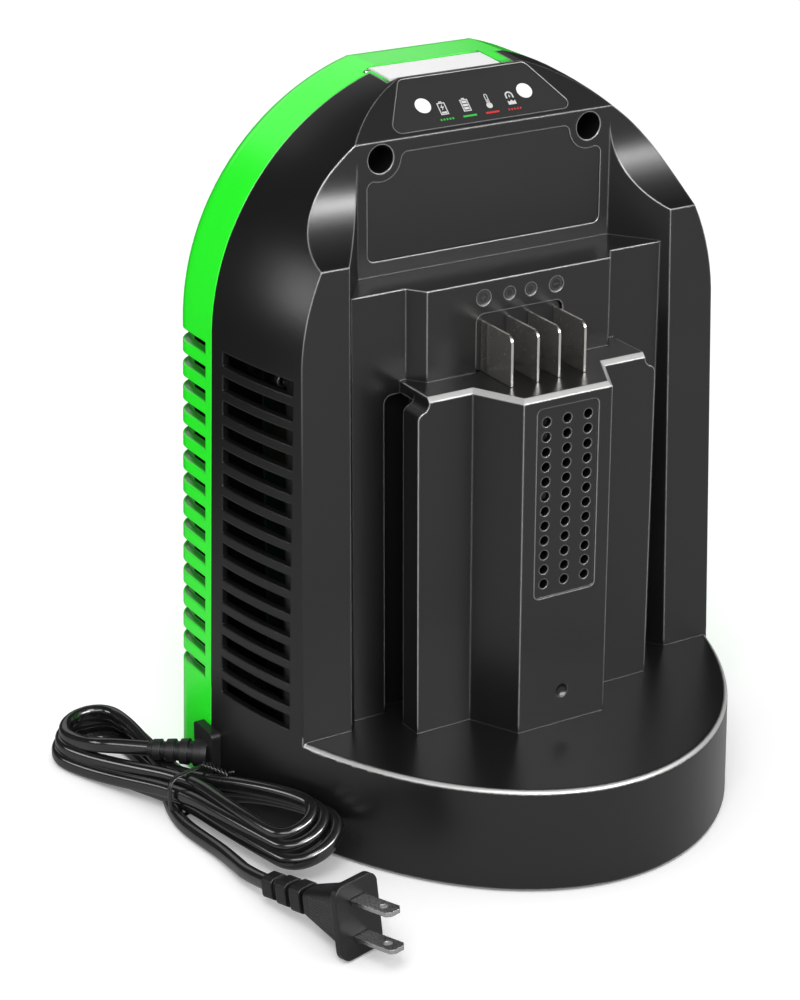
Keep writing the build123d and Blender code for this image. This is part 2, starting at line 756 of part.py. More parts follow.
with BuildPart() as rear_housing:
    add(rear_outer)
    seam_edges = rear_housing.faces().sort_by(Axis.Y)[0].edges().sort_by(Axis.Z)[1:]
    chamfer(seam_edges, seam_bevel)
    add(rear_hollow, mode=Mode.SUBTRACT)
    # posts of the four side screws, with wells from the rear
    with BuildSketch(Plane.XZ.offset(-seam_y)):
        with Locations(side_places):
            Circle(well_radius() + post_wall)
    extrude(amount=-(rear_y - seam_y - wall))
    # posts that take the two upper screws
    with BuildSketch(Plane.XZ.offset(-seam_y)):
        with Locations((-top_screw_x, top_screw_z), (top_screw_x, top_screw_z)):
            Circle(screw_radius + post_wall)
    extrude(amount=-(rear_y - seam_y - wall))
    # posts for the main board
    board_places = [(s * board_post_x, z) for s in (-1, 1) for z in board_post_heights]
    with BuildSketch(Plane.XZ.offset(-board_y - board_thickness)):
        with Locations(board_places):
            Circle(board_post_radius)
    extrude(amount=-(rear_y - wall / 2 - board_y - board_thickness))
    # posts for the rear base screws, each with a web to the wall
    with BuildSketch(Plane.XY.offset(foot_height + base_thickness)):
        with Locations(rear_base_posts):
            Circle(screw_radius + post_wall)
            Rectangle(2 * post_wall, rear_y - wall / 2 - rear_base_posts[0][1], align=(Align.CENTER, Align.MIN))
    extrude(amount=rear_base_post_top - foot_height - base_thickness)
    add(rear_outer, mode=Mode.INTERSECT)
    with BuildSketch(Plane.XZ.offset(-seam_y - well_floor)):
        with Locations(side_places):
            Circle(well_radius())
    extrude(amount=-reach / 4, mode=Mode.SUBTRACT)
    with BuildSketch(Plane.XZ.offset(-seam_y)):
        with Locations(side_places):
            Circle(screw_radius + hole_clearance)
    extrude(amount=-2 * well_floor, mode=Mode.SUBTRACT)
    with BuildSketch(Plane.XZ.offset(-seam_y)):
        with Locations((-top_screw_x, top_screw_z), (top_screw_x, top_screw_z)):
            Circle(screw_radius + screw_fit)
    extrude(amount=-housing_screw_length, mode=Mode.SUBTRACT)
    with BuildSketch(Plane.XZ.offset(-board_y - board_thickness)):
        with Locations(board_places):
            Circle(board_screw_radius + screw_fit)
    extrude(amount=-board_screw_length, mode=Mode.SUBTRACT)
    with BuildSketch(Plane.XY.offset(foot_height + base_thickness)):
        with Locations(rear_base_posts):
            Circle(screw_radius + screw_fit)
    extrude(amount=base_screw_length, mode=Mode.SUBTRACT)
    # louvres round both rear corners
    groove = louvre_groove()
    steps = [(-draft_slope * slot_pitch * i, 0, slot_pitch * i) for i in range(slot_count)]
    with Locations(steps):
        add(groove, mode=Mode.SUBTRACT)
    with Locations([(-x, y, z) for x, y, z in steps]):
        add(groove.mirror(Plane.YZ), mode=Mode.SUBTRACT)
    add(relief_cut, mode=Mode.SUBTRACT)
    # tongue under the port cover, with the posts of the port board, the cover's recess and the bezel's opening
    add(tongue)
    with BuildSketch(Plane.XY.offset(port_board_top_z)):
        with Locations(port_posts):
            Circle(port_post_radius)
    extrude(amount=tongue_bottom_z - port_board_top_z + 1)
    with BuildSketch(Plane.XY.offset(port_board_top_z)):
        with Locations(port_posts):
            Circle(board_screw_radius + screw_fit)
    extrude(amount=board_screw_length, mode=Mode.SUBTRACT)
    add(cover_recess(), mode=Mode.SUBTRACT)
    with BuildSketch(Plane.XY.offset(tongue_bottom_z - 1)):
        bezel_outline(port_clearance)
    extrude(amount=reach / 4, mode=Mode.SUBTRACT)
write(rear_housing.part, "rear_housing")


# ================================================================ fasteners
def screw(shank_radius, head_radius, head_height, length):
    # bearing face of the head at z = 0, shank downwards, a cross recess in the head
    recess_width = 0.3 * head_radius
    with BuildPart() as one:
        with BuildSketch():
            Circle(head_radius)
        extrude(amount=head_height)
        chamfer(one.faces().sort_by(Axis.Z)[-1].edges(), head_height / 4)
        with BuildSketch(Plane.XY.offset(head_height)):
            Rectangle(1.2 * head_radius, recess_width)
            Rectangle(recess_width, 1.2 * head_radius)
        extrude(amount=-head_height / 2, mode=Mode.SUBTRACT)
        with BuildSketch():
            Circle(shank_radius)
        extrude(amount=-length)
        chamfer(one.faces().sort_by(Axis.Z)[0].edges(), shank_radius / 3)
    return one.part


def place_all(shape, planes):
    with BuildPart() as group:
        for plane in planes:
            with Locations(plane):
                add(shape)
    return group.part


housing_screw = screw(screw_radius, screw_head_radius, screw_head_height, well_floor + housing_screw_length - 1)
upper_screws = place_all(housing_screw, [Plane(origin=(x, seam_y - well_floor, top_screw_z), z_dir=(0, -1, 0))
                                         for x in (-top_screw_x, top_screw_x)])
write(upper_screws, "upper_screws")
side_screws = place_all(housing_screw, [Plane(origin=(x, seam_y + well_floor, z), z_dir=(0, 1, 0))
                                        for x, z in side_places])
write(side_screws, "side_screws")

base_screw = screw(screw_radius, screw_head_radius, base_head_height,
                   base_thickness - base_head_sink + base_screw_length - 1)
base_screws = place_all(base_screw, [Plane(origin=(x, y, foot_height + base_head_sink), z_dir=(0, 0, -1))
                                     for x, y in base_posts + rear_base_posts])
write(base_screws, "base_screws")

board_screw = screw(board_screw_radius, board_screw_head, 1.8, board_thickness + board_screw_length - 1)
board_screws = place_all(board_screw, [Plane(origin=(x, board_y, z), z_dir=(0, -1, 0)) for x, z in board_places]
                         + [Plane(origin=(x, y, port_board_top_z - board_thickness), z_dir=(0, 0, -1))
                            for x, y in port_posts])
write(board_screws, "board_screws")

fan_screw = screw(screw_radius, screw_head_radius, 2.0, fan_depth + fan_post_length - 0.5)
fan_screws = place_all(fan_screw, [Plane(origin=(x, fan_rear_y, z), z_dir=(0, 1, 0)) for x, z in fan_places])
write(fan_screws, "fan_screws")

# ================================================================ underside
cradle_screw_places = [(clamp_x, seam_y + s * clamp_screw_spacing / 2) for s in (-1, 1)]

with BuildPart() as base_plate:
    edge = wall + base_clearance
    with BuildSketch(Plane.XY.offset(foot_height)):
        front_outline(half_width_at(base_top_z) - edge, nose_reach - edge)
        with Locations((0, seam_y)):
            Rectangle(2 * (half_width_at(base_top_z) * seam_scale - edge), rear_y - edge - seam_y,
                      align=(Align.CENTER, Align.MIN))
        fillet(vertices().group_by(Axis.Y)[-1], rear_edge_round - edge)
    extrude(amount=base_thickness)
    # screw holes with sunk heads
    with BuildSketch(Plane.XY.offset(foot_height)):
        with Locations(base_posts + rear_base_posts):
            Circle(screw_radius + hole_clearance)
    extrude(amount=base_thickness, mode=Mode.SUBTRACT)
    with BuildSketch(Plane.XY.offset(foot_height)):
        with Locations(base_posts + rear_base_posts):
            Circle(screw_head_radius + hole_clearance)
    extrude(amount=base_head_sink, mode=Mode.SUBTRACT)
    # seats of the feet
    with BuildSketch(Plane.XY.offset(foot_height)):
        with Locations(foot_places):
            Circle(foot_radius + edge_clearance)
    extrude(amount=foot_sink, mode=Mode.SUBTRACT)
    # air slots, and a shallow bare field for the rating plate
    with BuildSketch(Plane.XY.offset(foot_height)):
        with Locations((0, 36)):
            with GridLocations(6.5, 0, 9, 1):
                SlotOverall(32, 2.6, rotation=90)
    extrude(amount=base_thickness, mode=Mode.SUBTRACT)
    with BuildSketch(Plane.XY.offset(foot_height)):
        with Locations((0, -20)):
            RectangleRounded(46, 30, 2)
    extrude(amount=0.4, mode=Mode.SUBTRACT)
    # cradle under the mains cord
    with BuildSketch(Plane.XY.offset(base_top_z)):
        with Locations((clamp_x, seam_y)):
            Rectangle(clamp_size[0], clamp_size[1])
    extrude(amount=relief_z - base_top_z)
    with BuildSketch(Plane.YZ.offset(clamp_x - clamp_size[0])):
        with Locations((seam_y, relief_z)):
            Circle(cord_diameter / 2 + clamp_bite)
    extrude(amount=2 * clamp_size[0], mode=Mode.SUBTRACT)
    with BuildSketch(Plane.XY.offset(relief_z)):
        with Locations(cradle_screw_places):
            Circle(board_screw_radius + screw_fit)
    extrude(amount=-board_screw_length, mode=Mode.SUBTRACT)
write(base_plate.part, "base_plate")

with BuildPart() as rubber_feet:
    with BuildSketch():
        with Locations(foot_places):
            Circle(foot_radius)
    extrude(amount=foot_height + foot_sink)
    chamfer(rubber_feet.edges().filter_by_position(Axis.Z, -0.01, 0.01), 0.3)
write(rubber_feet.part, "rubber_feet")

with BuildPart() as cord_clamp:
    with BuildSketch(Plane.XY.offset(relief_z)):
        with Locations((clamp_x, seam_y)):
            Rectangle(clamp_size[0], clamp_size[1])
    extrude(amount=clamp_size[2])
    fillet(cord_clamp.faces().sort_by(Axis.Z)[-1].edges().filter_by(Axis.X), 1.0)
    with BuildSketch(Plane.YZ.offset(clamp_x - clamp_size[0])):
        with Locations((seam_y, relief_z)):
            Circle(cord_diameter / 2 + clamp_bite)
    extrude(amount=2 * clamp_size[0], mode=Mode.SUBTRACT)
    with BuildSketch(Plane.XY.offset(relief_z)):
        with Locations(cradle_screw_places):
            Circle(board_screw_radius + hole_clearance)
    extrude(amount=clamp_size[2], mode=Mode.SUBTRACT)
write(cord_clamp.part, "cord_clamp")

clamp_screw = screw(board_screw_radius, board_screw_head, 1.5, clamp_size[2] + board_screw_length - 1)
clamp_screws = place_all(clamp_screw, [Plane(origin=(x, y, relief_z + clamp_size[2]), z_dir=(0, 0, 1))
                                       for x, y in cradle_screw_places])
write(clamp_screws, "clamp_screws")

# ================================================================ label and indicator panel
with BuildPart() as label_plate:
    with BuildSketch(Plane.XZ.offset(-label_y - label_recess)):
        label_outline(edge_clearance)
    extrude(amount=plate_thickness)
write(label_plate.part, "label_plate")

with BuildPart() as indicator_overlay:
    with BuildSketch(slope_plane.offset(-overlay_recess)):
        overlay_outline(edge_clearance)
        with Locations((-lens_x, -lens_down), (lens_x, -lens_down)):
            Circle(lens_radius, mode=Mode.SUBTRACT)
    extrude(amount=overlay_thickness)
write(indicator_overlay.part, "indicator_overlay")

for name, x in (("indicator_lens_left", -lens_x), ("indicator_lens_right", lens_x)):
    with BuildPart() as lens:
        with BuildSketch(slope_plane.offset(-wall - lens_flange_thickness)):
            with Locations((x, -lens_down)):
                Circle(lens_flange_radius)
        extrude(amount=lens_flange_thickness)
        with BuildSketch(slope_plane.offset(-wall)):
            with Locations((x, -lens_down)):
                Circle(lens_radius - lens_clearance)
        extrude(amount=wall - overlay_recess + overlay_thickness)
    write(lens.part, name)

led_board_plane = slope_plane.offset(-wall - lens_flange_thickness - led_gap)
with BuildPart() as indicator_board:
    with BuildSketch(led_board_plane):
        with Locations((0, -lens_down)):
            Rectangle(led_board_width, led_board_height)
        with Locations((-led_post_x, -lens_down), (led_post_x, -lens_down)):
            Circle(led_post_radius + lens_clearance, mode=Mode.SUBTRACT)
    extrude(amount=-board_thickness)
write(indicator_board.part, "indicator_board")

with BuildPart() as indicator_leds:
    with BuildSketch(led_board_plane):
        with Locations((-lens_x, -lens_down), (lens_x, -lens_down)):
            RectangleRounded(3.2, 2.6, 0.4)
    extrude(amount=led_gap - 0.2)
write(indicator_leds.part, "indicator_leds")

# ================================================================ port cover, bezel and sockets
with BuildPart() as port_cover:
    with BuildSketch(Plane.YZ.offset(cover_left_x)):
        with BuildLine():
            Polyline((cover_front_y, cover_top_front_z), (hinge_y, hinge_z + barrel_radius),
                     (hinge_y, hinge_z + barrel_radius - cover_thickness),
                     (cover_front_y, cover_top_front_z - cover_thickness), close=True)
        make_face()
        with Locations((hinge_y, hinge_z)):
            Circle(barrel_radius)
    extrude(amount=cover_right_x - cover_left_x)
    front_corners = port_cover.edges().filter_by(Axis.Z).group_by(Axis.Y)[0]
    fillet(front_corners, 0.8)
    with BuildSketch(Plane.YZ.offset(cover_left_x)):
        with Locations((hinge_y, hinge_z)):
            Circle(pin_radius + pin_clearance)
    extrude(amount=cover_right_x - cover_left_x, mode=Mode.SUBTRACT)
write(port_cover.part, "port_cover")

with BuildPart() as port_cover_pin:
    pin_end = pin_overhang - 0.2
    with BuildSketch(Plane.YZ.offset(cover_left_x - pin_end)):
        with Locations((hinge_y, hinge_z)):
            Circle(pin_radius)
    extrude(amount=cover_right_x - cover_left_x + 2 * pin_end)
write(port_cover_pin.part, "port_cover_pin")

port_y = (bezel_front_y + bezel_rear_y) / 2
with BuildPart() as port_bezel:
    with BuildSketch(Plane.XY.offset(tongue_bottom_z)):
        bezel_outline(0)
    extrude(amount=tongue_thickness)
    with BuildSketch(Plane.XY.offset(tongue_bottom_z - bezel_flange_thickness)):
        bezel_outline(bezel_flange)
    extrude(amount=bezel_flange_thickness)
    with BuildSketch(Plane.XY.offset(tongue_bottom_z - bezel_flange_thickness)):
        with Locations((usb_a_x, port_y)):
            Rectangle(usb_a_size[0] + 2 * slot_clearance, usb_a_size[1] + 2 * slot_clearance)
        with Locations((usb_c_x, port_y)):
            SlotOverall(usb_c_size[0] + 2 * slot_clearance, usb_c_size[1] + 2 * slot_clearance)
    extrude(amount=reach / 8, mode=Mode.SUBTRACT)
write(port_bezel.part, "port_bezel")

with BuildPart() as usb_a_socket:
    with BuildSketch(Plane.XY.offset(port_board_top_z)):
        with Locations((usb_a_x, port_y)):
            Rectangle(*usb_a_size)
    extrude(amount=usb_depth)
    with BuildSketch(Plane.XY.offset(port_board_top_z + 1.5)):
        with Locations((usb_a_x, port_y)):
            Rectangle(usb_a_size[0] - 2 * usb_shell, usb_a_size[1] - 2 * usb_shell)
    extrude(amount=usb_depth, mode=Mode.SUBTRACT)
    with BuildSketch(Plane.XY.offset(port_board_top_z + 1)):
        with Locations((usb_a_x, port_y + usb_a_size[1] / 6)):
            Rectangle(usb_a_size[0] - 2, usb_a_size[1] / 3)
    extrude(amount=usb_depth - 2)
write(usb_a_socket.part, "usb_a_socket")

with BuildPart() as usb_c_socket:
    with BuildSketch(Plane.XY.offset(port_board_top_z)):
        with Locations((usb_c_x, port_y)):
            SlotOverall(*usb_c_size)
    extrude(amount=usb_depth)
    with BuildSketch(Plane.XY.offset(port_board_top_z + 3)):
        with Locations((usb_c_x, port_y)):
            SlotOverall(usb_c_size[0] - 2 * usb_shell, usb_c_size[1] - 2 * usb_shell)
    extrude(amount=usb_depth, mode=Mode.SUBTRACT)
    with BuildSketch(Plane.XY.offset(port_board_top_z + 2)):
        with Locations((usb_c_x, port_y)):
            Rectangle(usb_c_size[0] - 2.2, 0.7)
    extrude(amount=usb_depth - 3)
write(usb_c_socket.part, "usb_c_socket")

with BuildPart() as port_board:
    board_left = tongue_left_x + port_board_clearance
    board_front = bezel_front_y - 1
    board_rear = port_post_y + port_post_radius
    with BuildSketch(Plane.XY.offset(port_board_top_z)):
        with Locations((board_left, board_front)):
            Rectangle(tongue_right_x - port_board_clearance - board_left, board_rear - board_front,
                      align=(Align.MIN, Align.MIN))
        with Locations(port_posts):
            Circle(board_screw_radius + hole_clearance, mode=Mode.SUBTRACT)
    extrude(amount=-board_thickness)
write(port_board.part, "port_board")

# ================================================================ contacts
holder_front_y = plate_front_y + holder_setback
holder_rear_y = holder_front_y + holder_depth
contact_bottom_z = dock_top_z + contact_lift


def contact_section(growth):
    # the four contacts seen from the front
    with Locations([(x, contact_bottom_z + contact_height / 2) for x in contact_x]):
        Rectangle(contact_thickness + 2 * growth, contact_height + 2 * growth)


with BuildPart() as contact_holder:
    with BuildSketch(Plane.XZ.offset(-holder_front_y)):
        with Locations((0, dock_top_z + holder_clearance)):
            Rectangle(2 * (window_half_width - holder_clearance), window_height - 2 * holder_clearance,
                      align=(Align.CENTER, Align.MIN))
        fillet(vertices().group_by(Axis.Y)[-1], window_round)
    extrude(amount=-holder_depth)
    with BuildSketch(Plane.XZ.offset(-plate_front_y - wall)):
        with Locations((0, dock_top_z + window_height / 2)):
            Rectangle(2 * (window_half_width + holder_flange), window_height + 2 * holder_flange)
    extrude(amount=-holder_flange_thickness)
    with BuildSketch(Plane.XZ.offset(-holder_front_y)):
        with Locations([(x, contact_bottom_z + contact_height / 2) for x in contact_x]):
            Rectangle(contact_thickness + 2 * slot_clearance, contact_height + 2 * slot_clearance)
    extrude(amount=-holder_depth, mode=Mode.SUBTRACT)
write(contact_holder.part, "contact_holder")

for name, x in zip(contact_names, contact_x):
    with BuildPart() as contact:
        with BuildSketch(Plane.YZ.offset(x - contact_thickness / 2)):
            with Locations((plate_front_y - contact_reach, contact_bottom_z)):
                Rectangle(contact_reach + contact_tail, contact_height, align=(Align.MIN, Align.MIN))
            front_corners = vertices().group_by(Axis.X)[0].sort_by(Axis.Y)
            fillet(front_corners[-1], contact_corner)
        extrude(amount=contact_thickness)
    write(contact.part, name)

# ================================================================ main board and its components
with BuildPart() as main_board:
    with BuildSketch(Plane.XZ.offset(-board_y)):
        with Locations((0, board_bottom_z)):
            Rectangle(2 * board_half_width, board_top_z - board_bottom_z, align=(Align.CENTER, Align.MIN))
        with Locations(board_places):
            Circle(board_screw_radius + hole_clearance, mode=Mode.SUBTRACT)
    extrude(amount=-board_thickness)
write(main_board.part, "main_board")

core_centre_y = board_y - winding_depth / 2
window_width = (core_size[0] - 2 * core_yoke - core_leg) / 2
with BuildPart() as transformer_core:
    with BuildSketch(Plane.XZ.offset(-core_centre_y)):
        with Locations(transformer_place):
            Rectangle(core_size[0], core_size[1])
            with GridLocations(core_leg + window_width, 0, 2, 1):
                Rectangle(window_width, core_size[1] - 2 * core_yoke, mode=Mode.SUBTRACT)
    extrude(amount=core_size[2] / 2, both=True)
write(transformer_core.part, "transformer_core")

with BuildPart() as transformer_winding:
    winding_height = core_size[1] - 2 * core_yoke - 0.4
    with BuildSketch(Plane.XY.offset(transformer_place[1] - winding_height / 2)):
        with Locations((transformer_place[0], core_centre_y)):
            RectangleRounded(core_leg + 2 * window_width - 0.6, winding_depth, 5.0)
            Rectangle(core_leg + 0.4, core_size[2] + 0.4, mode=Mode.SUBTRACT)
    extrude(amount=winding_height)
write(transformer_winding.part, "transformer_winding")

with BuildPart() as bulk_capacitors:
    with BuildSketch(Plane.XZ.offset(-board_y)):
        with Locations(capacitor_places):
            Circle(capacitor_radius)
    extrude(amount=capacitor_height)
    fillet(bulk_capacitors.faces().group_by(Axis.Y)[0].edges(), 1.0)
write(bulk_capacitors.part, "bulk_capacitors")

sink_x, sink_z = heat_sink_place
sink_width, sink_depth, sink_height = heat_sink_size
with BuildPart() as heat_sink:
    with BuildSketch(Plane.XZ.offset(-board_y)):
        with Locations((sink_x, sink_z)):
            Rectangle(heat_sink_base, sink_height, align=(Align.MIN, Align.MIN))
        with Locations((sink_x + sink_width / 2, sink_z + sink_height / 2)):
            with GridLocations(0, (sink_height - fin_thickness) / (fin_count - 1), 1, fin_count):
                Rectangle(sink_width, fin_thickness)
    extrude(amount=sink_depth)
write(heat_sink.part, "heat_sink")

with BuildPart() as power_transistors:
    with BuildSketch(Plane.XZ.offset(-board_y)):
        with Locations([(sink_x - transistor_size[0] / 2, z) for z in transistor_heights]):
            Rectangle(transistor_size[0], transistor_size[2])
    extrude(amount=transistor_size[1])
    chamfer(power_transistors.faces().group_by(Axis.X)[0].edges(), 0.5)
write(power_transistors.part, "power_transistors")

with BuildPart() as choke:
    choke_plane = Plane.XZ.offset(-board_y)
    with BuildSketch(choke_plane):
        with Locations(choke_place):
            Circle(choke_radius)
            Circle(choke_hole, mode=Mode.SUBTRACT)
    extrude(amount=choke_height)
    # wire turns standing proud of the ring's outside
    with BuildSketch(choke_plane):
        with Locations(choke_place):
            with PolarLocations(choke_radius, choke_turns):
                Circle(0.8)
    extrude(amount=choke_height)
write(choke.part, "choke")

with BuildPart() as fuse:
    fuse_axis_y = board_y - fuse_lift
    with BuildSketch(Plane.YZ.offset(fuse_place[0] - fuse_length / 2)):
        with Locations((fuse_axis_y, fuse_place[1])):
            Circle(fuse_radius - 0.3)
    extrude(amount=fuse_length)
    for end in (fuse_place[0] - fuse_length / 2, fuse_place[0] + fuse_length / 2 - 6):
        with BuildSketch(Plane.YZ.offset(end)):
            with Locations((fuse_axis_y, fuse_place[1])):
                Circle(fuse_radius)
            with Locations((fuse_axis_y, fuse_place[1])):
                Rectangle(fuse_lift, 2 * fuse_radius, align=(Align.MIN, Align.CENTER))
        extrude(amount=6)
write(fuse.part, "fuse")

with BuildPart() as mains_connector:
    with BuildSketch(Plane.XZ.offset(-board_y)):
        with Locations((connector_x, relief_z + 4)):
            Rectangle(connector_size[0], connector_size[2])
    extrude(amount=connector_size[1])
    chamfer(mains_connector.faces().sort_by(Axis.Y)[0].edges(), 0.8)
write(mains_connector.part, "mains_connector")

# ================================================================ fan
fan_centre = (0, fan_z)
hub_rear_y = fan_rear_y - fan_strut_depth - fan_axial_gap
hub_front_y = fan_front_y + fan_axial_gap
with BuildPart() as fan_frame:
    with BuildSketch(Plane.XZ.offset(-fan_front_y)):
        with Locations(fan_centre):
            RectangleRounded(fan_size, fan_size, 4.0)
            Circle(fan_bore / 2, mode=Mode.SUBTRACT)
            with GridLocations(fan_hole_spacing, fan_hole_spacing, 2, 2):
                Circle(fan_hole_radius, mode=Mode.SUBTRACT)
    extrude(amount=-fan_depth)
    # motor plate on three struts, and the axle
    with BuildSketch(Plane.XZ.offset(-fan_rear_y)):
        with Locations(fan_centre):
            Circle(fan_hub_radius + 0.5)
            with PolarLocations(fan_bore / 4 + 1, 3, start_angle=90):
                Rectangle(fan_bore / 2 + 1, fan_strut_width)
    extrude(amount=fan_strut_depth)
    with BuildSketch(Plane.XZ.offset(-fan_rear_y)):
        with Locations(fan_centre):
            Circle(fan_axle_radius)
    extrude(amount=fan_depth - 3)
write(fan_frame.part, "fan_frame")

with BuildPart() as fan_blade:
    tip = fan_bore / 2 - fan_tip_gap
    middle_y = (hub_front_y + hub_rear_y) / 2
    for x, chord, angle in zip((fan_hub_radius - 2, tip), blade_chords, blade_angles):
        with BuildSketch(Plane.YZ.offset(x)):
            with Locations((middle_y, fan_z)):
                Rectangle(chord, fan_blade_thickness, rotation=angle)
    loft()

with BuildPart() as fan_rotor:
    with BuildSketch(Plane.XZ.offset(-hub_front_y)):
        with Locations(fan_centre):
            Circle(fan_hub_radius)
    extrude(amount=-(hub_rear_y - hub_front_y))
    for index in range(fan_blades):
        add(fan_blade.part.rotate(Axis((0, 0, fan_z), (0, 1, 0)), 360 / fan_blades * index))
    with BuildSketch(Plane.XZ.offset(-fan_front_y)):
        with Locations(fan_centre):
            Circle(fan_bore / 2 - fan_tip_gap)
    extrude(amount=-fan_depth, mode=Mode.INTERSECT)
    with BuildSketch(Plane.XZ.offset(-hub_rear_y)):
        with Locations(fan_centre):
            Circle(fan_axle_radius + fan_axle_clearance)
    extrude(amount=fan_depth - 3 - fan_strut_depth, mode=Mode.SUBTRACT)
write(fan_rotor.part, "fan_rotor")

# ================================================================ mains cord
relief_wall_x = -half_width_at(relief_z) * seam_scale
relief_face_x = relief_wall_x - relief_flange_thickness
inner_flange_x = relief_wall_x + wall + 3 * relief_neck_clearance
inner_flange_thickness = 1.5
boot_direction = Vector(-cos(radians(relief_turn)), sin(radians(relief_turn)), 0)
boot_plane = Plane(origin=(relief_face_x, seam_y, relief_z), z_dir=boot_direction)
boot_end = boot_plane.origin + boot_direction * relief_length


def ribbed_boot():
    # tapered boot along +Z, its rings left standing between grooves
    pitch = relief_length / relief_rings
    taper = (relief_root_radius - relief_tip_radius) / relief_length
    points = [(0, -2), (relief_root_radius, -2)]
    for index in range(relief_rings):
        start = index * pitch
        ring_end = start + 0.6 * pitch
        points.append((relief_root_radius - taper * start, start))
        points.append((relief_root_radius - taper * ring_end, ring_end))
        points.append((relief_root_radius - taper * ring_end - relief_ring_depth, ring_end))
        points.append((relief_root_radius - taper * (start + pitch) - relief_ring_depth, start + pitch))
    points.append((0, relief_length))
    with BuildPart() as boot:
        with BuildSketch(Plane.XZ):
            with BuildLine():
                Polyline(*points, close=True)
            make_face()
        revolve(axis=Axis.Z)
    return boot.part


with BuildPart() as strain_relief:
    with BuildSketch(Plane.YZ.offset(relief_face_x)):
        with Locations((seam_y, relief_z)):
            RectangleRounded(*relief_flange_size, 2.0)
    extrude(amount=relief_flange_thickness + wall / 2)
    with Locations(boot_plane):
        add(ribbed_boot())
    add(front_outer, mode=Mode.SUBTRACT)
    add(rear_outer, mode=Mode.SUBTRACT)
    with BuildSketch(Plane.YZ.offset(relief_face_x + 1)):
        with Locations((seam_y, relief_z)):
            Circle(relief_neck_radius)
    extrude(amount=inner_flange_x - relief_face_x - 1)
    with BuildSketch(Plane.YZ.offset(inner_flange_x)):
        with Locations((seam_y, relief_z)):
            Circle(relief_neck_radius + 2)
    extrude(amount=inner_flange_thickness)
write(strain_relief.part, "strain_relief")

tail_start_x = inner_flange_x + inner_flange_thickness
with BuildPart() as cord_tail:
    with BuildSketch(Plane.YZ.offset(tail_start_x)):
        with Locations((seam_y, relief_z)):
            Circle(cord_diameter / 2)
    extrude(amount=connector_x - connector_size[0] / 2 - tail_start_x)
write(cord_tail.part, "cord_tail")

# plug: X across, Y up the plug's face, Z out along the blades
plug_forward = Vector(sin(radians(plug_turn)) * cos(radians(plug_tilt)),
                      -cos(radians(plug_turn)) * cos(radians(plug_tilt)), sin(radians(plug_tilt)))
plug_plane = Plane(origin=plug_face, x_dir=(cos(radians(plug_turn)), sin(radians(plug_turn)), 0),
                   z_dir=plug_forward)
body_start = -plug_flange_thickness
body_end = body_start - plug_body_length
relief_end = body_end - plug_relief_length
plug_tail = plug_plane.origin + plug_forward * relief_end
blade_rise = blade_spacing / 2


def blade_places():
    return Locations((0, -blade_rise), (0, blade_rise))


with BuildPart() as plug_body:
    with BuildSketch(plug_plane):
        RectangleRounded(*plug_flange_size, 4.0)
    extrude(amount=-plug_flange_thickness)
    for z, size, corner in ((body_start, plug_body_size, 3.0), (body_end, plug_neck_size, 2.5)):
        with BuildSketch(plug_plane.offset(z)):
            RectangleRounded(*size, corner)
    loft()
    # strain relief: core with rings
    core = (plug_relief_end[0] - 2 * plug_ring_depth, plug_relief_end[1] - 2 * plug_ring_depth)
    with BuildSketch(plug_plane.offset(body_end)):
        RectangleRounded(*core, 1.5)
    extrude(amount=-plug_relief_length)
    ring_pitch = plug_relief_length / plug_rings
    for index in range(plug_rings):
        share = (index + 0.5) / plug_rings
        width = plug_neck_size[0] + (plug_relief_end[0] - plug_neck_size[0]) * share
        height = plug_neck_size[1] + (plug_relief_end[1] - plug_neck_size[1]) * share
        with BuildSketch(plug_plane.offset(body_end - index * ring_pitch - 0.3 * ring_pitch)):
            RectangleRounded(width, height, 2.0)
        extrude(amount=-0.65 * ring_pitch)
    with BuildSketch(plug_plane):
        with blade_places():
            Rectangle(blade_width + 2 * slot_clearance, blade_thickness + 2 * slot_clearance)
    extrude(amount=-blade_root, mode=Mode.SUBTRACT)
write(plug_body.part, "plug_body")

with BuildPart() as plug_blades:
    with BuildSketch(plug_plane.offset(-blade_root)):
        with blade_places():
            Rectangle(blade_width, blade_thickness)
    extrude(amount=blade_root + blade_length)
    blade_tips = plug_blades.faces().sort_by(Axis(plug_plane.origin, plug_forward))[-2:]
    tip_edges = blade_tips.edges().filter_by(Axis(plug_plane.origin, plug_plane.y_dir))
    chamfer(tip_edges, 1.4)
    hole_plane = Plane(origin=plug_plane.from_local_coords((0, 0, blade_length - blade_hole_back)),
                       x_dir=plug_plane.x_dir, z_dir=plug_plane.y_dir)
    with BuildSketch(hole_plane):
        Circle(blade_hole_radius)
    extrude(amount=plug_flange_size[1], both=True, mode=Mode.SUBTRACT)
write(plug_blades.part, "plug_blades")

# hank: a simple closed form round the wound cord
hank_run = hypot(hank_front[0] - hank_rear[0], hank_front[1] - hank_rear[1])
hank_along = Vector((hank_front[0] - hank_rear[0]) / hank_run, (hank_front[1] - hank_rear[1]) / hank_run, 0)
hank_plane = Plane(origin=(hank_rear[0], hank_rear[1], 0), x_dir=hank_along, z_dir=(0, 0, 1))
tie_place = hank_plane.from_local_coords((hank_run * tie_share, 0, hank_height / 2))
tie_plane = Plane(origin=tie_place, x_dir=hank_plane.y_dir, z_dir=hank_along)

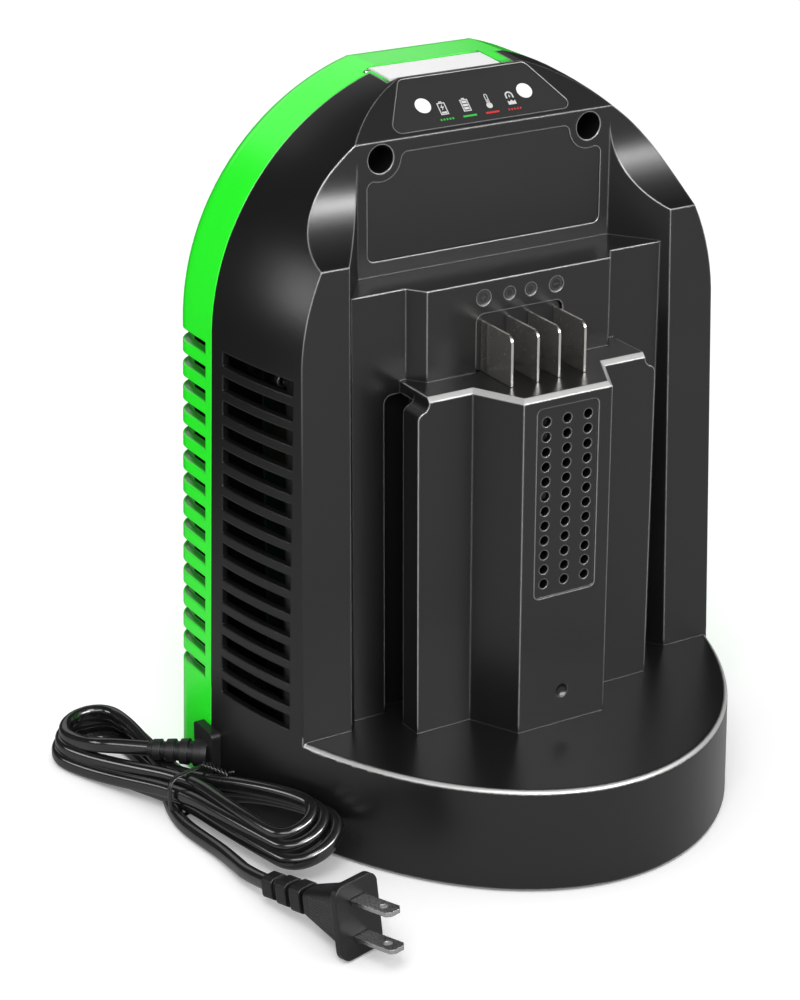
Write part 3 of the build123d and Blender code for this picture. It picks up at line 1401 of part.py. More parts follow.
with BuildPart() as twist_tie:
    with BuildSketch(tie_plane):
        RectangleRounded(2 * hank_waist_half_width, hank_height, hank_edge_round)
        RectangleRounded(2 * (hank_waist_half_width - tie_thickness), hank_height - 2 * tie_thickness,
                         hank_edge_round - tie_thickness, mode=Mode.SUBTRACT)
    extrude(amount=tie_width / 2, both=True)
    with BuildSketch(hank_plane.offset(hank_height)):
        with Locations((hank_run * tie_share, hank_waist_half_width / 3)):
            Rectangle(tie_tail_length, 1.8, align=(Align.MIN, Align.CENTER))
    extrude(amount=1.2)
write(twist_tie.part, "twist_tie")

with BuildPart() as cord_hank:
    with BuildSketch(hank_plane) as hank_outline:
        with Locations((hank_run * tie_share, 0)):
            waist = Circle(hank_waist_half_width, mode=Mode.PRIVATE)
        for centre, half_width in ((0, hank_rear_half_width), (hank_run, hank_front_half_width)):
            with Locations((centre, 0)):
                loop = Circle(half_width, mode=Mode.PRIVATE)
            make_hull(loop.edges() + waist.edges())
        corners = hank_outline.vertices().sort_by(lambda v: abs(v.X - hank_run * tie_share))[:2]
        fillet(corners, hank_run / 3)
    extrude(amount=hank_height)
    fillet(cord_hank.edges().group_by(Axis.Z)[0] + cord_hank.edges().group_by(Axis.Z)[-1], hank_edge_round)
    # room for the tie and for the boot above
    with BuildSketch(tie_plane):
        Rectangle(4 * hank_waist_half_width, 2 * hank_height)
        RectangleRounded(2 * (hank_waist_half_width - tie_thickness), hank_height - 2 * tie_thickness,
                         hank_edge_round - tie_thickness, mode=Mode.SUBTRACT)
    extrude(amount=tie_width / 2, both=True, mode=Mode.SUBTRACT)
    with BuildSketch(boot_plane.offset(-2)):
        Circle(relief_root_radius + 0.4)
    extrude(amount=relief_length + 3, taper=4, mode=Mode.SUBTRACT)
write(cord_hank.part, "cord_hank")


def run_length(start, end):
    return (Vector(end) - Vector(start)).length


def cord_tube(points, name):
    # straight runs joined by tangent arcs
    points = [Vector(p) for p in points]
    radii = []
    for before, corner, after in zip(points, points[1:], points[2:]):
        turn = radians((corner - before).get_angle(after - corner))
        shorter = min(run_length(before, corner), run_length(corner, after))
        radii.append(0.45 * shorter / tan(turn / 2))
    with BuildPart() as tube:
        with BuildLine() as path:
            FilletPolyline(*points, radius=min(radii))
        with BuildSketch(Plane(origin=path.line @ 0, z_dir=path.line % 0)):
            Circle(cord_diameter / 2)
        sweep()
    length = sum(edge.length for edge in path.edges())
    share = tube.part.volume / (length * pi * cord_diameter**2 / 4)
    print(name, "length", round(length, 1), "bend radii", [round(r, 1) for r in radii], "volume", round(share, 3))
    write(tube.part, name)


# from the boot over the hank's rear loop and down into it
cord_tube([boot_end, boot_end + boot_direction * 12.5, (-128.5, 79.0, 12.5), (-131.0, 90.0, 8.5)], "cord_lead")
# from under the hank's waist along the table to the plug
plug_arrival = plug_tail - plug_forward * 19
cord_tube([(-115.0, 31.0, 2.4), (-119.2, 11.0, 2.4), plug_arrival, plug_tail], "plug_lead")
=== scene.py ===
import bpy
import bmesh
from math import cos, pi, radians, sin
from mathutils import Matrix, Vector


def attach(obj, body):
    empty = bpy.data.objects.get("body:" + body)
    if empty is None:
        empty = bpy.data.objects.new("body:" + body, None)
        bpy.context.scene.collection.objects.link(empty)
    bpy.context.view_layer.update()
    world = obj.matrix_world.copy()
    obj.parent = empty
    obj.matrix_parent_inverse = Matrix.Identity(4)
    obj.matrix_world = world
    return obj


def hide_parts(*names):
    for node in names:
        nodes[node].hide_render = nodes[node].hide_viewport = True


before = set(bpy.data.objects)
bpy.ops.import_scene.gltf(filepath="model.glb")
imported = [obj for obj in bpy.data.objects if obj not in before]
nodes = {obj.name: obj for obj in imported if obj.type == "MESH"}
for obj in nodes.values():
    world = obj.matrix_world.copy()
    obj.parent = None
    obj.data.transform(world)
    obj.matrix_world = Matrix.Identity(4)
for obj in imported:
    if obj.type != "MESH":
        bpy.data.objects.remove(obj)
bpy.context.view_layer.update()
scene = bpy.context.scene
mm = 0.001


# shader maths: a socket that can be added, multiplied and so on
class Sock:
    def __init__(self, graph, socket):
        self.graph = graph
        self.socket = socket

    def maths(self, operation, *values, clamp=False):
        return self.graph.node("ShaderNodeMath", values, operation=operation, use_clamp=clamp)

    def __add__(self, other):
        return self.maths("ADD", self, other)

    def __radd__(self, other):
        return self.maths("ADD", other, self)

    def __sub__(self, other):
        return self.maths("SUBTRACT", self, other)

    def __rsub__(self, other):
        return self.maths("SUBTRACT", other, self)

    def __mul__(self, other):
        return self.maths("MULTIPLY", self, other)

    def __rmul__(self, other):
        return self.maths("MULTIPLY", other, self)

    def __pow__(self, other):
        return self.maths("POWER", self, other)

    def __neg__(self):
        return self.maths("MULTIPLY", self, -1)

    def wave(self):
        return self.maths("SINE", self)

    def size(self):
        return self.maths("ABSOLUTE", self)

    def least(self, other):
        return self.maths("MINIMUM", self, other)

    def most(self, other):
        return self.maths("MAXIMUM", self, other)

    def ramp(self, start, end):
        # 0 at start, 1 at end, held between
        return self.maths("DIVIDE", self - start, end - start, clamp=True)


class Graph:
    def __init__(self, tree):
        self.tree = tree

    # a value or a link into one socket
    def feed(self, socket, value):
        if isinstance(value, Sock):
            self.tree.links.new(value.socket, socket)
        elif socket.type == "RGBA":
            socket.default_value = (*value, 1)
        else:
            socket.default_value = value

    # any node: its type, its settings, then the values or links of its sockets
    def node(self, kind, values=(), out=0, **settings):
        made = self.tree.nodes.new(kind)
        for key, value in settings.items():
            setattr(made, key, value)
        pairs = values.items() if isinstance(values, dict) else enumerate(values)
        for key, value in pairs:
            self.feed(made.inputs[key], value)
        return Sock(self, made.outputs[out])

    def mix(self, share, a, b):
        return self.node("ShaderNodeMix", {0: share, 6: a, 7: b}, 2, data_type="RGBA")

    def place(self):
        return self.node("ShaderNodeTexCoord", out="Object")

    def facing(self):
        return self.node("ShaderNodeNewGeometry", out="Normal")

    def along(self, direction, vector=None):
        return self.node("ShaderNodeVectorMath", (vector or self.place(), direction), "Value",
                         operation="DOT_PRODUCT")

    def axes(self):
        return [self.along(axis) for axis in ((1, 0, 0), (0, 1, 0), (0, 0, 1))]

    def noise(self, scale, detail=2.0, rough=0.5, vector=None):
        return self.node("ShaderNodeTexNoise", {"Vector": vector or self.place(), "Scale": scale,
                                                "Detail": detail, "Roughness": rough})

    def grain(self, size):
        return self.noise(size, 2, 0.6)

    def rounded(self, radius):
        return self.node("ShaderNodeBevel", {"Radius": radius}, samples=6)

    def exposed(self, distance):
        # 1 on open faces, less in corners
        return self.node("ShaderNodeAmbientOcclusion", {"Distance": distance}, "AO", samples=8,
                         only_local=True)

    def bump(self, height, distance, normal=None):
        values = {"Height": height, "Distance": distance}
        if normal is not None:
            values["Normal"] = normal
        return self.node("ShaderNodeBump", values)

    def lightPath(self, ray):
        return self.node("ShaderNodeLightPath", out=ray)


class Finish(Graph):
    def __init__(self, name):
        self.material = bpy.data.materials.new(name)
        self.material.use_nodes = True
        super().__init__(self.material.node_tree)
        self.surface = self.tree.nodes["Principled BSDF"]

    def set(self, **inputs):
        for name, value in inputs.items():
            self.feed(self.surface.inputs[name.replace("_", " ")], value)


def tinted(colour, amount):
    return [min(max(c * amount, 0.0), 1.0) for c in colour]


# how much of the roughness comes from the slow patches, the fine grain and brushed lines
uneven = {"patchSize": 18, "patches": 0.08, "grain": 0.06, "lines": 0.18}


# moulded plastic: fine grain, uneven gloss, rounded edges
def moulded(name, colour, rough=0.3, grain=0.00002, grainSize=2600, edge=0.0008, shine=0.5,
            patchy=0.05):
    s = Finish(name)
    patches = s.noise(uneven["patchSize"])
    fine = s.grain(grainSize)
    middleRough = rough - (uneven["patches"] + uneven["grain"]) / 2
    s.set(Base_Color=s.mix(patches, tinted(colour, 1 - patchy), tinted(colour, 1 + patchy)),
          Roughness=patches * uneven["patches"] + fine * uneven["grain"] + middleRough,
          Normal=s.bump(fine, grain, s.rounded(edge)), Specular_IOR_Level=shine)
    return s


# metal: fine brushed lines along one direction
def brushed(name, colour, rough, stretch, edge=0.0003, metallic=1.0):
    s = Finish(name)
    stretched = s.node("ShaderNodeVectorMath", (s.place(), stretch), operation="MULTIPLY")
    lines = s.noise(1.0, 3, 0.6, stretched)
    s.set(Base_Color=s.mix(lines, tinted(colour, 0.82), colour), Metallic=metallic,
          Roughness=lines * uneven["lines"] + (rough - uneven["lines"] / 2),
          Normal=s.bump(lines, 0.00001, s.rounded(edge)))
    return s


print("shader tools ready")

# materials of the CAD pieces; pairs of numbers are the start and end of a fade
housing = {
    "colour": (0.0064, 0.0064, 0.0062), "rough": 0.30, "grain": 0.000022, "grainSize": 1900,
    "edge": 0.0009, "highlightColour": (0.50, 0.50, 0.49), "highlightMetallic": 0.24,
    "turned": (0.03, 0.14), "cornerReach": 0.004, "clear": (0.72, 0.92),
    "slantUp": (0.25, 0.45), "slantFlat": (0.85, 0.97),
    "dockTop": 0.1585, "dockBevel": 0.0016, "dockBack": (-0.004, -0.003),
    "shelf": 0.0377, "shelfRound": 0.0016,
    "sideWall": (0.079, 0.082), "slotFoot": (0.0395, 0.0405),
    "grilleSide": (0.011, 0.012), "grilleFace": (-0.0316, -0.0312), "grilleHighlightCut": 0.6,
}
hair = 0.0001
s = moulded("blackHousing", housing["colour"], housing["rough"], housing["grain"],
            housing["grainSize"], housing["edge"])
# painted highlight: the outer edges get a pale grey, partly metallic colour; the inner corners are
# left alone
bent = s.along(s.facing(), s.rounded(housing["edge"]))
clear = s.exposed(housing["cornerReach"]).ramp(*housing["clear"])
turnedEdge = (1 - bent).ramp(*housing["turned"]) * clear
acrossBody, deepBody, upBody = s.axes()
facesUp = s.along((0, 0, 1), s.facing())
slanting = facesUp.ramp(*housing["slantUp"]) * (1 - facesUp.ramp(*housing["slantFlat"]))
# the bevels of the dock's top and the shelf's rim get the painted highlight over their whole width
# where they slant
bevelFoot = housing["dockTop"] - housing["dockBevel"]
onDockBevel = upBody.ramp(bevelFoot - hair, bevelFoot + hair) * \
    (1 - upBody.ramp(housing["dockTop"] + hair, housing["dockTop"] + 3 * hair)) * \
    (1 - deepBody.ramp(*housing["dockBack"]))
rimFoot = housing["shelf"] - housing["shelfRound"]
onShelfRim = upBody.ramp(rimFoot - 2 * hair, rimFoot) * \
    (1 - upBody.ramp(housing["shelf"] + hair, housing["shelf"] + 3 * hair))
# the vents' slots in the side walls and the holes of the dock's grille get less of the painted
# highlight on their edges
fromMiddle = acrossBody.size()
offSlots = (1 - fromMiddle.ramp(*housing["sideWall"])).most(1 - upBody.ramp(*housing["slotFoot"]))
offGrille = 1 - housing["grilleHighlightCut"] * (1 - fromMiddle.ramp(*housing["grilleSide"])) * \
    (1 - deepBody.ramp(*housing["grilleFace"]))
paintedHighlight = (turnedEdge * offSlots * offGrille).most(slanting * onDockBevel.most(onShelfRim))
body = s.mix(s.noise(uneven["patchSize"]), tinted(housing["colour"], 0.92), housing["colour"])
# painted highlight: where the mask is full, a pale grey and partly metallic colour is mixed into
# the black
s.set(Base_Color=s.mix(paintedHighlight, body, housing["highlightColour"]), Metallic=paintedHighlight * housing["highlightMetallic"])
black = s.material

# green shell: painted shade inside, a near-black colour on its inner faces, found from the depth
# under its outer outline
shell = {
    "colour": (0.004, 0.96, 0.007), "hollow": (0.001, 0.15, 0.0015),
    "louvreFloorShade": (0.003, 0.26, 0.004), "innerShade": (0.006, 0.008, 0.006),
    "rough": 0.30, "grain": 0.000012, "grainSize": 2000, "edge": 0.0009,
    "coat": 0.6, "coatRough": 0.22, "hollowReach": 0.005, "hollowFade": (0.45, 0.93),
    "footHalfWidth": 0.0946, "halfWidth": 0.0895, "draft": 0.0307, "crown": 0.166, "top": 0.252,
    "rear": 0.07835, "corner": 0.011, "wall": 0.0025,
    "innerShadeLap": 0.0003, "innerShadeFade": 0.00015, "floorDepth": 0.0007, "floorFade": 0.0004,
}
s = Finish("greenHousing")
patches = s.noise(uneven["patchSize"])
fine = s.grain(shell["grainSize"])
acrossShell, deepShell, upShell = s.axes()
crownRise = (upShell - shell["crown"]).most(0.0)
crownReach = (acrossShell ** 2 + crownRise ** 2) ** 0.5
spread = crownReach.most(upShell - (shell["top"] - shell["halfWidth"]))
halfWidth = shell["footHalfWidth"] - shell["draft"] * upShell.least(shell["crown"])
pastCorner = (spread - (halfWidth - shell["corner"])).most(0.0)
pastRear = (deepShell - (shell["rear"] - shell["corner"])).most(0.0)
fromCorner = (pastCorner ** 2 + pastRear ** 2) ** 0.5
innerShadeStart = shell["corner"] - shell["wall"] + shell["innerShadeLap"]
# painted shade: near-black on the inner faces of the shell
inside = (innerShadeStart - fromCorner).ramp(0.0, shell["innerShadeFade"])
# painted shade: a darker green on the louvre floors, which sink under the outer face
sunken = (shell["corner"] - shell["floorDepth"] - fromCorner).ramp(0.0, shell["floorFade"])
# painted shade: a darker green where the surface is closed in, from ambient occlusion
openShell = s.exposed(shell["hollowReach"]).ramp(*shell["hollowFade"])
outerTone = s.mix(patches, tinted(shell["colour"], 0.98), shell["colour"])
greenTone = s.mix(openShell, shell["hollow"], s.mix(sunken, outerTone, shell["louvreFloorShade"]))
s.set(Base_Color=s.mix(inside, greenTone, shell["innerShade"]),
      Roughness=patches * uneven["patches"] + (shell["rough"] - uneven["patches"] / 2),
      Normal=s.bump(fine, shell["grain"], s.rounded(shell["edge"])), Specular_IOR_Level=0.5,
      Coat_Weight=(1 - inside) * shell["coat"], Coat_Roughness=shell["coatRough"])
green = s.material

plastics = {
    "darkLabel": {"colour": (0.0150, 0.0150, 0.0150), "rough": 0.5, "grain": 0.000008,
                  "grainSize": 3200, "edge": 0.0002, "shine": 0.25},
    "whiteCover": {"colour": (0.86, 0.86, 0.86), "rough": 0.35, "grain": 0.000006,
                   "grainSize": 2400, "edge": 0.0003, "shine": 0.4, "patchy": 0.015},
    "rubberFeet": {"colour": (0.02, 0.02, 0.02), "rough": 0.75, "grain": 0.00006,
                   "grainSize": 1800, "edge": 0.0004, "shine": 0.3},
    "blackResin": {"colour": (0.012, 0.012, 0.0125), "rough": 0.42, "grain": 0.00002,
                   "grainSize": 2200, "edge": 0.0005, "shine": 0.4},
    "circuitBoard": {"colour": (0.003, 0.016, 0.008), "rough": 0.3, "grain": 0.00001,
                     "grainSize": 900, "edge": 0.0002},
    "ferrite": {"colour": (0.03, 0.03, 0.032), "rough": 0.55, "grain": 0.00005,
                "grainSize": 1500, "edge": 0.0004},
    "windingTape": {"colour": (0.5, 0.33, 0.04), "rough": 0.25, "grain": 0.00002,
                    "grainSize": 1200, "edge": 0.0004},
    "capacitorSleeve": {"colour": (0.015, 0.015, 0.03), "rough": 0.2, "grain": 0.00001,
                        "grainSize": 1200, "edge": 0.0004},
    "copperWinding": {"colour": (0.32, 0.11, 0.03), "rough": 0.3, "grain": 0.00003,
                      "grainSize": 1500, "edge": 0.0003, "shine": 0.6},
    "lensWhite": {"colour": (0.93, 0.93, 0.93), "rough": 0.2, "grain": 0.000003,
                  "grainSize": 1500, "edge": 0.0002, "shine": 0.5, "patchy": 0.01},
}
metals = {
    "platedContact": {"colour": (0.60, 0.59, 0.56), "rough": 0.24, "stretch": (300, 900, 4000),
                      "metallic": 0.93},
    "platedBlade": {"colour": (0.46, 0.46, 0.47), "rough": 0.28, "stretch": (3000, 300, 3000)},
    "screwSteel": {"colour": (0.40, 0.40, 0.41), "rough": 0.35, "stretch": (2500, 2500, 2500)},
    "aluminiumSink": {"colour": (0.70, 0.70, 0.71), "rough": 0.35, "stretch": (1500, 1500, 90)},
}
finishes = {"blackHousing": black, "greenHousing": green}
for name, values in plastics.items():
    finishes[name] = moulded(name, **values).material
for name, values in metals.items():
    finishes[name] = brushed(name, **values).material

# plug: dotted grip on both flanks of its body
plug = {
    "face": Vector((-0.1025, -0.072, 0.0136)), "yaw": radians(14), "tilt": radians(8),
    "colour": (0.0055, 0.0055, 0.0057), "gripColour": (0.002, 0.002, 0.002),
    "dotColour": (0.030, 0.030, 0.031),
    "rough": 0.42, "grain": 0.00002, "grainSize": 2200, "edge": 0.0009, "shine": 0.4,
    "grid": 0.0021, "dotFade": (0.25, 0.6), "dotDepth": 0.0009, "dotSink": 1.6, "dotRelief": 0.25,
    "grainRelief": 0.02,
    "gripStart": 0.0055, "gripEnd": 0.0185, "gripHalfHeight": 0.0062, "gripTaper": 22,
    "gripFade": 0.0003, "gripSide": (0.0035, 0.0037),
}
yaw, tilt = plug["yaw"], plug["tilt"]
plugForward = Vector((sin(yaw) * cos(tilt), -cos(yaw) * cos(tilt), sin(tilt)))
plugSide = Vector((cos(yaw), sin(yaw), 0))
plugUp = plugForward.cross(plugSide)
p = moulded("blackPlug", plug["colour"], plug["rough"], plug["grain"], plug["grainSize"],
            plug["edge"], plug["shine"])
behindFace = -(p.along(tuple(plugForward)) - plugForward.dot(plug["face"]))
upPlug = p.along(tuple(plugUp)) - plugUp.dot(plug["face"])
sidePlug = (p.along(tuple(plugSide)) - plugSide.dot(plug["face"])).size()
gripHalf = plug["gripHalfHeight"] * (1 - behindFace * plug["gripTaper"])
grip = behindFace.ramp(plug["gripStart"], plug["gripStart"] + plug["gripFade"]) * \
    (1 - behindFace.ramp(plug["gripEnd"], plug["gripEnd"] + plug["gripFade"])) * \
    (1 - (upPlug.size() - gripHalf).ramp(0.0, plug["gripFade"])) * sidePlug.ramp(*plug["gripSide"])
pitch = 2 * pi / plug["grid"]
grid = (behindFace * pitch).wave().size().least((upPlug * pitch).wave().size())
fine = p.grain(plug["grainSize"])
dots = grip * grid.ramp(*plug["dotFade"])
relief = grip * (grid - plug["dotSink"]) * plug["dotRelief"] + fine * plug["grainRelief"]
p.set(Base_Color=p.mix(dots, p.mix(grip, plug["colour"], plug["gripColour"]), plug["dotColour"]),
      Normal=p.bump(relief, plug["dotDepth"], p.rounded(plug["edge"])))
finishes["blackPlug"] = p.material

looks = {
    "blackHousing": ["front_housing", "base_plate", "cord_clamp", "port_bezel"],
    "greenHousing": ["rear_housing"],
    "darkLabel": ["label_plate", "indicator_overlay"],
    "whiteCover": ["port_cover", "mains_connector"],
    "lensWhite": ["indicator_lens_left", "indicator_lens_right", "indicator_leds", "fuse"],
    "rubberFeet": ["rubber_feet"],
    "blackResin": ["contact_holder", "power_transistors", "fan_frame", "fan_rotor", "cord_tail",
                   "strain_relief"],
    "circuitBoard": ["main_board", "indicator_board", "port_board"],
    "ferrite": ["transformer_core"],
    "windingTape": ["transformer_winding"],
    "capacitorSleeve": ["bulk_capacitors"],
    "copperWinding": ["choke"],
    "aluminiumSink": ["heat_sink"],
    "platedContact": ["usb_a_socket", "usb_c_socket", "contact_positive", "contact_data_left",
                      "contact_data_right", "contact_negative"],
    "screwSteel": ["port_cover_pin", "base_screws", "upper_screws", "side_screws", "board_screws",
                   "fan_screws", "clamp_screws"],
    "blackPlug": ["plug_body"],
    "platedBlade": ["plug_blades"],
}
for finish, names in looks.items():
    for name in names:
        for holder in nodes[name].material_slots:
            holder.material = finishes[finish]
print("materials on CAD pieces")

# mains cord, drawn as one line from the boot to the plug
cord = {"width": 0.0056, "thickness": 0.0045, "length": 1.08}
rearLoop = Vector((-0.120, 0.092, 0))
frontLoop = Vector((-0.0925, -0.0200, 0))
along = (frontLoop - rearLoop).normalized()
across = Vector((-along.y, along.x, 0))
hankRun = (frontLoop - rearLoop).length / mm
middle = hankRun / 2

# mm: shift, radius and height of each loop, then side and height of its runs at boot and waist
turns = [
    {"rear": (0.6, 10.0, 12.0), "boot": (3.4, 7.4), "inner": (2.8, 11.2),
     "front": (-9.6, 7.6, 17.0), "outer": (-1.8, 13.2)},
    {"rear": (1.0, 11.8, 8.4), "boot": (7.2, 5.4), "inner": (4.8, 7.6),
     "front": (-6.2, 9.1, 15.0), "outer": (-6.4, 10.2)},
    {"rear": (1.4, 13.4, 4.7), "boot": (9.9, 3.0), "inner": (7.4, 3.6),
     "front": (-2.4, 10.8, 12.8), "outer": (-5.0, 6.4)},
]
lastHalf = {
    "rear": (4.0, 9.6, 2.95),
    "lead": ((20, 6.8, 2.95), (33, 4.2, 2.95), (44, -1.8, 2.95), (55, -8.4, 2.95),
             (66, -12.4, 2.95)),
}
# the front loops lean against the housing, so they are tilted most
lean = {"rear": 0.12, "front": 0.42, "frontSide": 0.7}
# the loops' points stand a little outside the line; a run joins its loop this far before it
bend = {"angles": (72, 36, 0, -36, -72), "swell": 1.05, "joinSide": 0.98, "frontInnerJoin": 0.88,
        "rearJoin": 5, "frontJoin": 6, "bootPlace": 0.62, "waistPlace": 0.98}
# one point on each run: its place as a share of the middle, then how much the loop and the waist
# count for its side and for its height
runs = {
    "rearInner": (0.33, 0.7, 0.3, 0.6, 0.4),
    "frontInner": (1.42, 0.53, 0.34, 0.7, 0.3),
    "frontOuter": (1.42, 0.66, 0.34, 0.7, 0.3),
    "rearOuter": (0.4, 0.66, 0.34, 0.8, 0.2),
}


def hankPoint(s, t, z):
    return rearLoop + along * (s * mm) + across * (t * mm) + Vector((0, 0, z * mm))


def loopPoints(centre, reach, side, height, radius, slope, angles):
    swollen = radius * bend["swell"]
    return [hankPoint(centre + reach * swollen * cos(a), side + swollen * sin(a),
                      height + slope * radius * sin(a)) for a in map(radians, angles)]


def runPoint(name, loopSide, waistSide, loopHeight, waistHeight):
    place, sideLoop, sideWaist, highLoop, highWaist = runs[name]
    return hankPoint(middle * place, loopSide * sideLoop + waistSide * sideWaist,
                     loopHeight * highLoop + waistHeight * highWaist)


route = [Vector((-0.1122, 0.0612, 0.015)), Vector((-0.1190, 0.0666, 0.0152)),
         Vector((-0.1255, 0.0738, 0.0142)), hankPoint(6.6, -10.0, 11.6)]
for turn, following in zip(turns, turns[1:] + [lastHalf]):
    shift, radius, height = turn["rear"]
    innerSide, innerHeight = turn["inner"]
    outerSide, outerHeight = turn["outer"]
    bootSide, bootHeight = turn["boot"]
    # round the rear loop and along the inner run
    rise = height + lean["rear"] * radius
    route += loopPoints(shift, -1, 0, height, radius, lean["rear"], bend["angles"][::-1])
    route += [hankPoint(shift + bend["rearJoin"], radius * bend["joinSide"], rise),
              runPoint("rearInner", radius, bootSide, rise, bootHeight),
              hankPoint(middle * bend["bootPlace"], bootSide, bootHeight),
              hankPoint(middle * bend["waistPlace"], innerSide, innerHeight)]
    # round the front loop and back along the outer run
    shift, radius, height = turn["front"]
    side = lean["frontSide"]
    rise, fall = height + lean["front"] * radius, height - lean["front"] * radius
    join = hankRun + shift - bend["frontJoin"]
    route += [runPoint("frontInner", side + radius, innerSide, rise, innerHeight),
              hankPoint(join, side + radius * bend["frontInnerJoin"], rise)]
    route += loopPoints(hankRun + shift, 1, side, height, radius, lean["front"], bend["angles"])
    route += [hankPoint(join, side - radius * bend["joinSide"], fall),
              runPoint("frontOuter", side - radius, outerSide, fall, outerHeight),
              hankPoint(middle, outerSide, outerHeight)]
    # into the next rear loop; the last one lies flat
    shift, radius, height = following["rear"]
    slope = 0 if following is lastHalf else lean["rear"]
    fall = height - slope * radius
    route += [runPoint("rearOuter", -radius, outerSide, fall, outerHeight),
              hankPoint(shift + bend["rearJoin"], -radius * bend["joinSide"], fall)]
# the last half turn, then under the waist and along the bundle to the plug
route += loopPoints(shift, -1, 0, height, radius, slope, bend["angles"][::-1])
route.append(hankPoint(shift + bend["rearJoin"], radius * bend["joinSide"], height))
route += [hankPoint(*place) for place in lastHalf["lead"]]
route += [Vector((-0.1152, 0.0140, 0.0032)), Vector((-0.1138, 0.0020, 0.0037)),
          Vector((-0.1139, -0.0090, 0.0045)), Vector((-0.1145, -0.0190, 0.0057)),
          Vector((-0.1128, -0.03068, 0.00762))]

curve = bpy.data.curves.new("mainsCord", "CURVE")
curve.dimensions = "3D"
spline = curve.splines.new("NURBS")
spline.points.add(len(route) - 1)
for point, place in zip(spline.points, route):
    point.co = (*place, 1)
spline.order_u = 3
spline.use_endpoint_u = True
spline.resolution_u = 10
curve.twist_mode = "Z_UP"
curve.bevel_depth = cord["thickness"] / 2
curve.extrude = (cord["width"] - cord["thickness"]) / 2
curve.bevel_resolution = 6
curve.use_fill_caps = True
mainsCord = bpy.data.objects.new("mainsCord", curve)
scene.collection.objects.link(mainsCord)


# length of the bare line
def lineLength():
    plain = curve.copy()
    plain.bevel_depth = plain.extrude = 0
    holder = bpy.data.objects.new("measure", plain)
    scene.collection.objects.link(holder)
    bpy.context.view_layer.update()
    built = holder.evaluated_get(bpy.context.evaluated_depsgraph_get())
    line = [v.co.copy() for v in bpy.data.meshes.new_from_object(built).vertices]
    bpy.data.objects.remove(holder)
    bpy.data.curves.remove(plain)
    return sum((b - a).length for a, b in zip(line, line[1:]))


cordLength = lineLength()
print("cord length", round(cordLength, 4), "points", len(route))

sheath = {"dark": (0.007, 0.007, 0.007), "pale": (0.012, 0.012, 0.012), "rough": 0.10,
          "uneven": 0.12, "patchSize": 60, "grainSize": 1400, "grain": 0.000005, "shine": 0.9}
s = Finish("cordSheath")
fine = s.noise(sheath["grainSize"])
slow = s.noise(sheath["patchSize"])
s.set(Base_Color=s.mix(slow, sheath["dark"], sheath["pale"]),
      Roughness=slow * sheath["uneven"] + sheath["rough"],
      Normal=s.bump(fine, sheath["grain"]), Specular_IOR_Level=sheath["shine"])
curve.materials.append(s.material)
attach(mainsCord, "charger")
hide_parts("cord_lead", "cord_hank", "plug_lead")

# wire tie round the waist, its ends twisted together
tie = {
    "width": 0.0021, "thickness": 0.0008, "halfWidth": 0.0112, "height": 0.0168, "round": 0.0052,
    "place": middle - 1.0, "skew": 0.6, "cornerSteps": 6,
    "tail": 0.0135, "tailSteps": 56, "twists": 4, "twistEnd": 0.9, "strand": 0.00055, "flat": 0.75,
    "side": 3.4, "sideways": 1.6, "flareStart": 0.88, "flare": 2.2, "lift": 0.0008, "bow": 0.0006,
}


def tube(name, points, halfSizes, guide, closed=False, sides=12):
    # an oval section carried along the points; guide is the direction of its width at each point
    mesh = bpy.data.meshes.new(name)
    bm = bmesh.new()
    rings = []
    count = len(points)
    for i, point in enumerate(points):
        after = points[(i + 1) % count] if closed or i + 1 < count else point
        before = points[i - 1] if closed or i > 0 else point
        forward = (after - before).normalized()
        wide = guide - forward * guide.dot(forward)
        wide.normalize()
        thick = forward.cross(wide)
        ring = []
        for k in range(sides):
            a = 2 * pi * k / sides
            beside = point + wide * halfSizes[0] * cos(a)
            ring.append(bm.verts.new(beside + thick * halfSizes[1] * sin(a)))
        rings.append(ring)
    pairs = zip(rings, rings[1:] + rings[:1]) if closed else zip(rings, rings[1:])
    for one, two in pairs:
        for k in range(sides):
            bm.faces.new((one[k], one[(k + 1) % sides], two[(k + 1) % sides], two[k]))
    if not closed:
        bm.faces.new(rings[0][::-1])
        bm.faces.new(rings[-1])
    bmesh.ops.recalc_face_normals(bm, faces=bm.faces)
    bm.to_mesh(mesh)
    bm.free()
    for face in mesh.polygons:
        face.use_smooth = True
    piece = bpy.data.objects.new(name, mesh)
    scene.collection.objects.link(piece)
    return piece


bandLine = []
outward = tie["halfWidth"] - tie["thickness"] / 2 - tie["round"]
upward = tie["height"] / 2 - tie["thickness"] / 2 - tie["round"]
for quarter, (sx, sz) in enumerate(((1, 1), (-1, 1), (-1, -1), (1, -1))):
    for step in range(tie["cornerSteps"] + 1):
        a = radians(90 * quarter + 90 / tie["cornerSteps"] * step)
        bandLine.append(hankPoint(tie["place"] + tie["skew"] * sin(2 * a),
                                  (outward * sx + tie["round"] * cos(a)) / mm,
                                  (tie["height"] / 2 + upward * sz + tie["round"] * sin(a)) / mm))
tieBand = tube("tieBand", bandLine, (tie["width"] / 2, tie["thickness"] / 2), along, closed=True)
strands = []
for turnStart in (0, pi):
    line = []
    for step in range(tie["tailSteps"] + 1):
        share = step / tie["tailSteps"]
        flared = max(share - tie["flareStart"], 0) / (1 - tie["flareStart"])
        reachOut = tie["strand"] * (1.0 + tie["flare"] * flared)
        a = turnStart + 2 * pi * tie["twists"] * min(share, tie["twistEnd"])
        rise = tie["lift"] + tie["bow"] * sin(pi * share)
        line.append(hankPoint(middle + tie["tail"] * share / mm,
                              tie["side"] + tie["sideways"] * share ** 2 + reachOut * cos(a) / mm,
                              (tie["height"] + rise + reachOut * sin(a)) / mm))
    strands.append(tube("tieStrand" + str(len(strands)), line,
                        (tie["strand"], tie["strand"] * tie["flat"]), Vector((0, 0, 1)), sides=10))

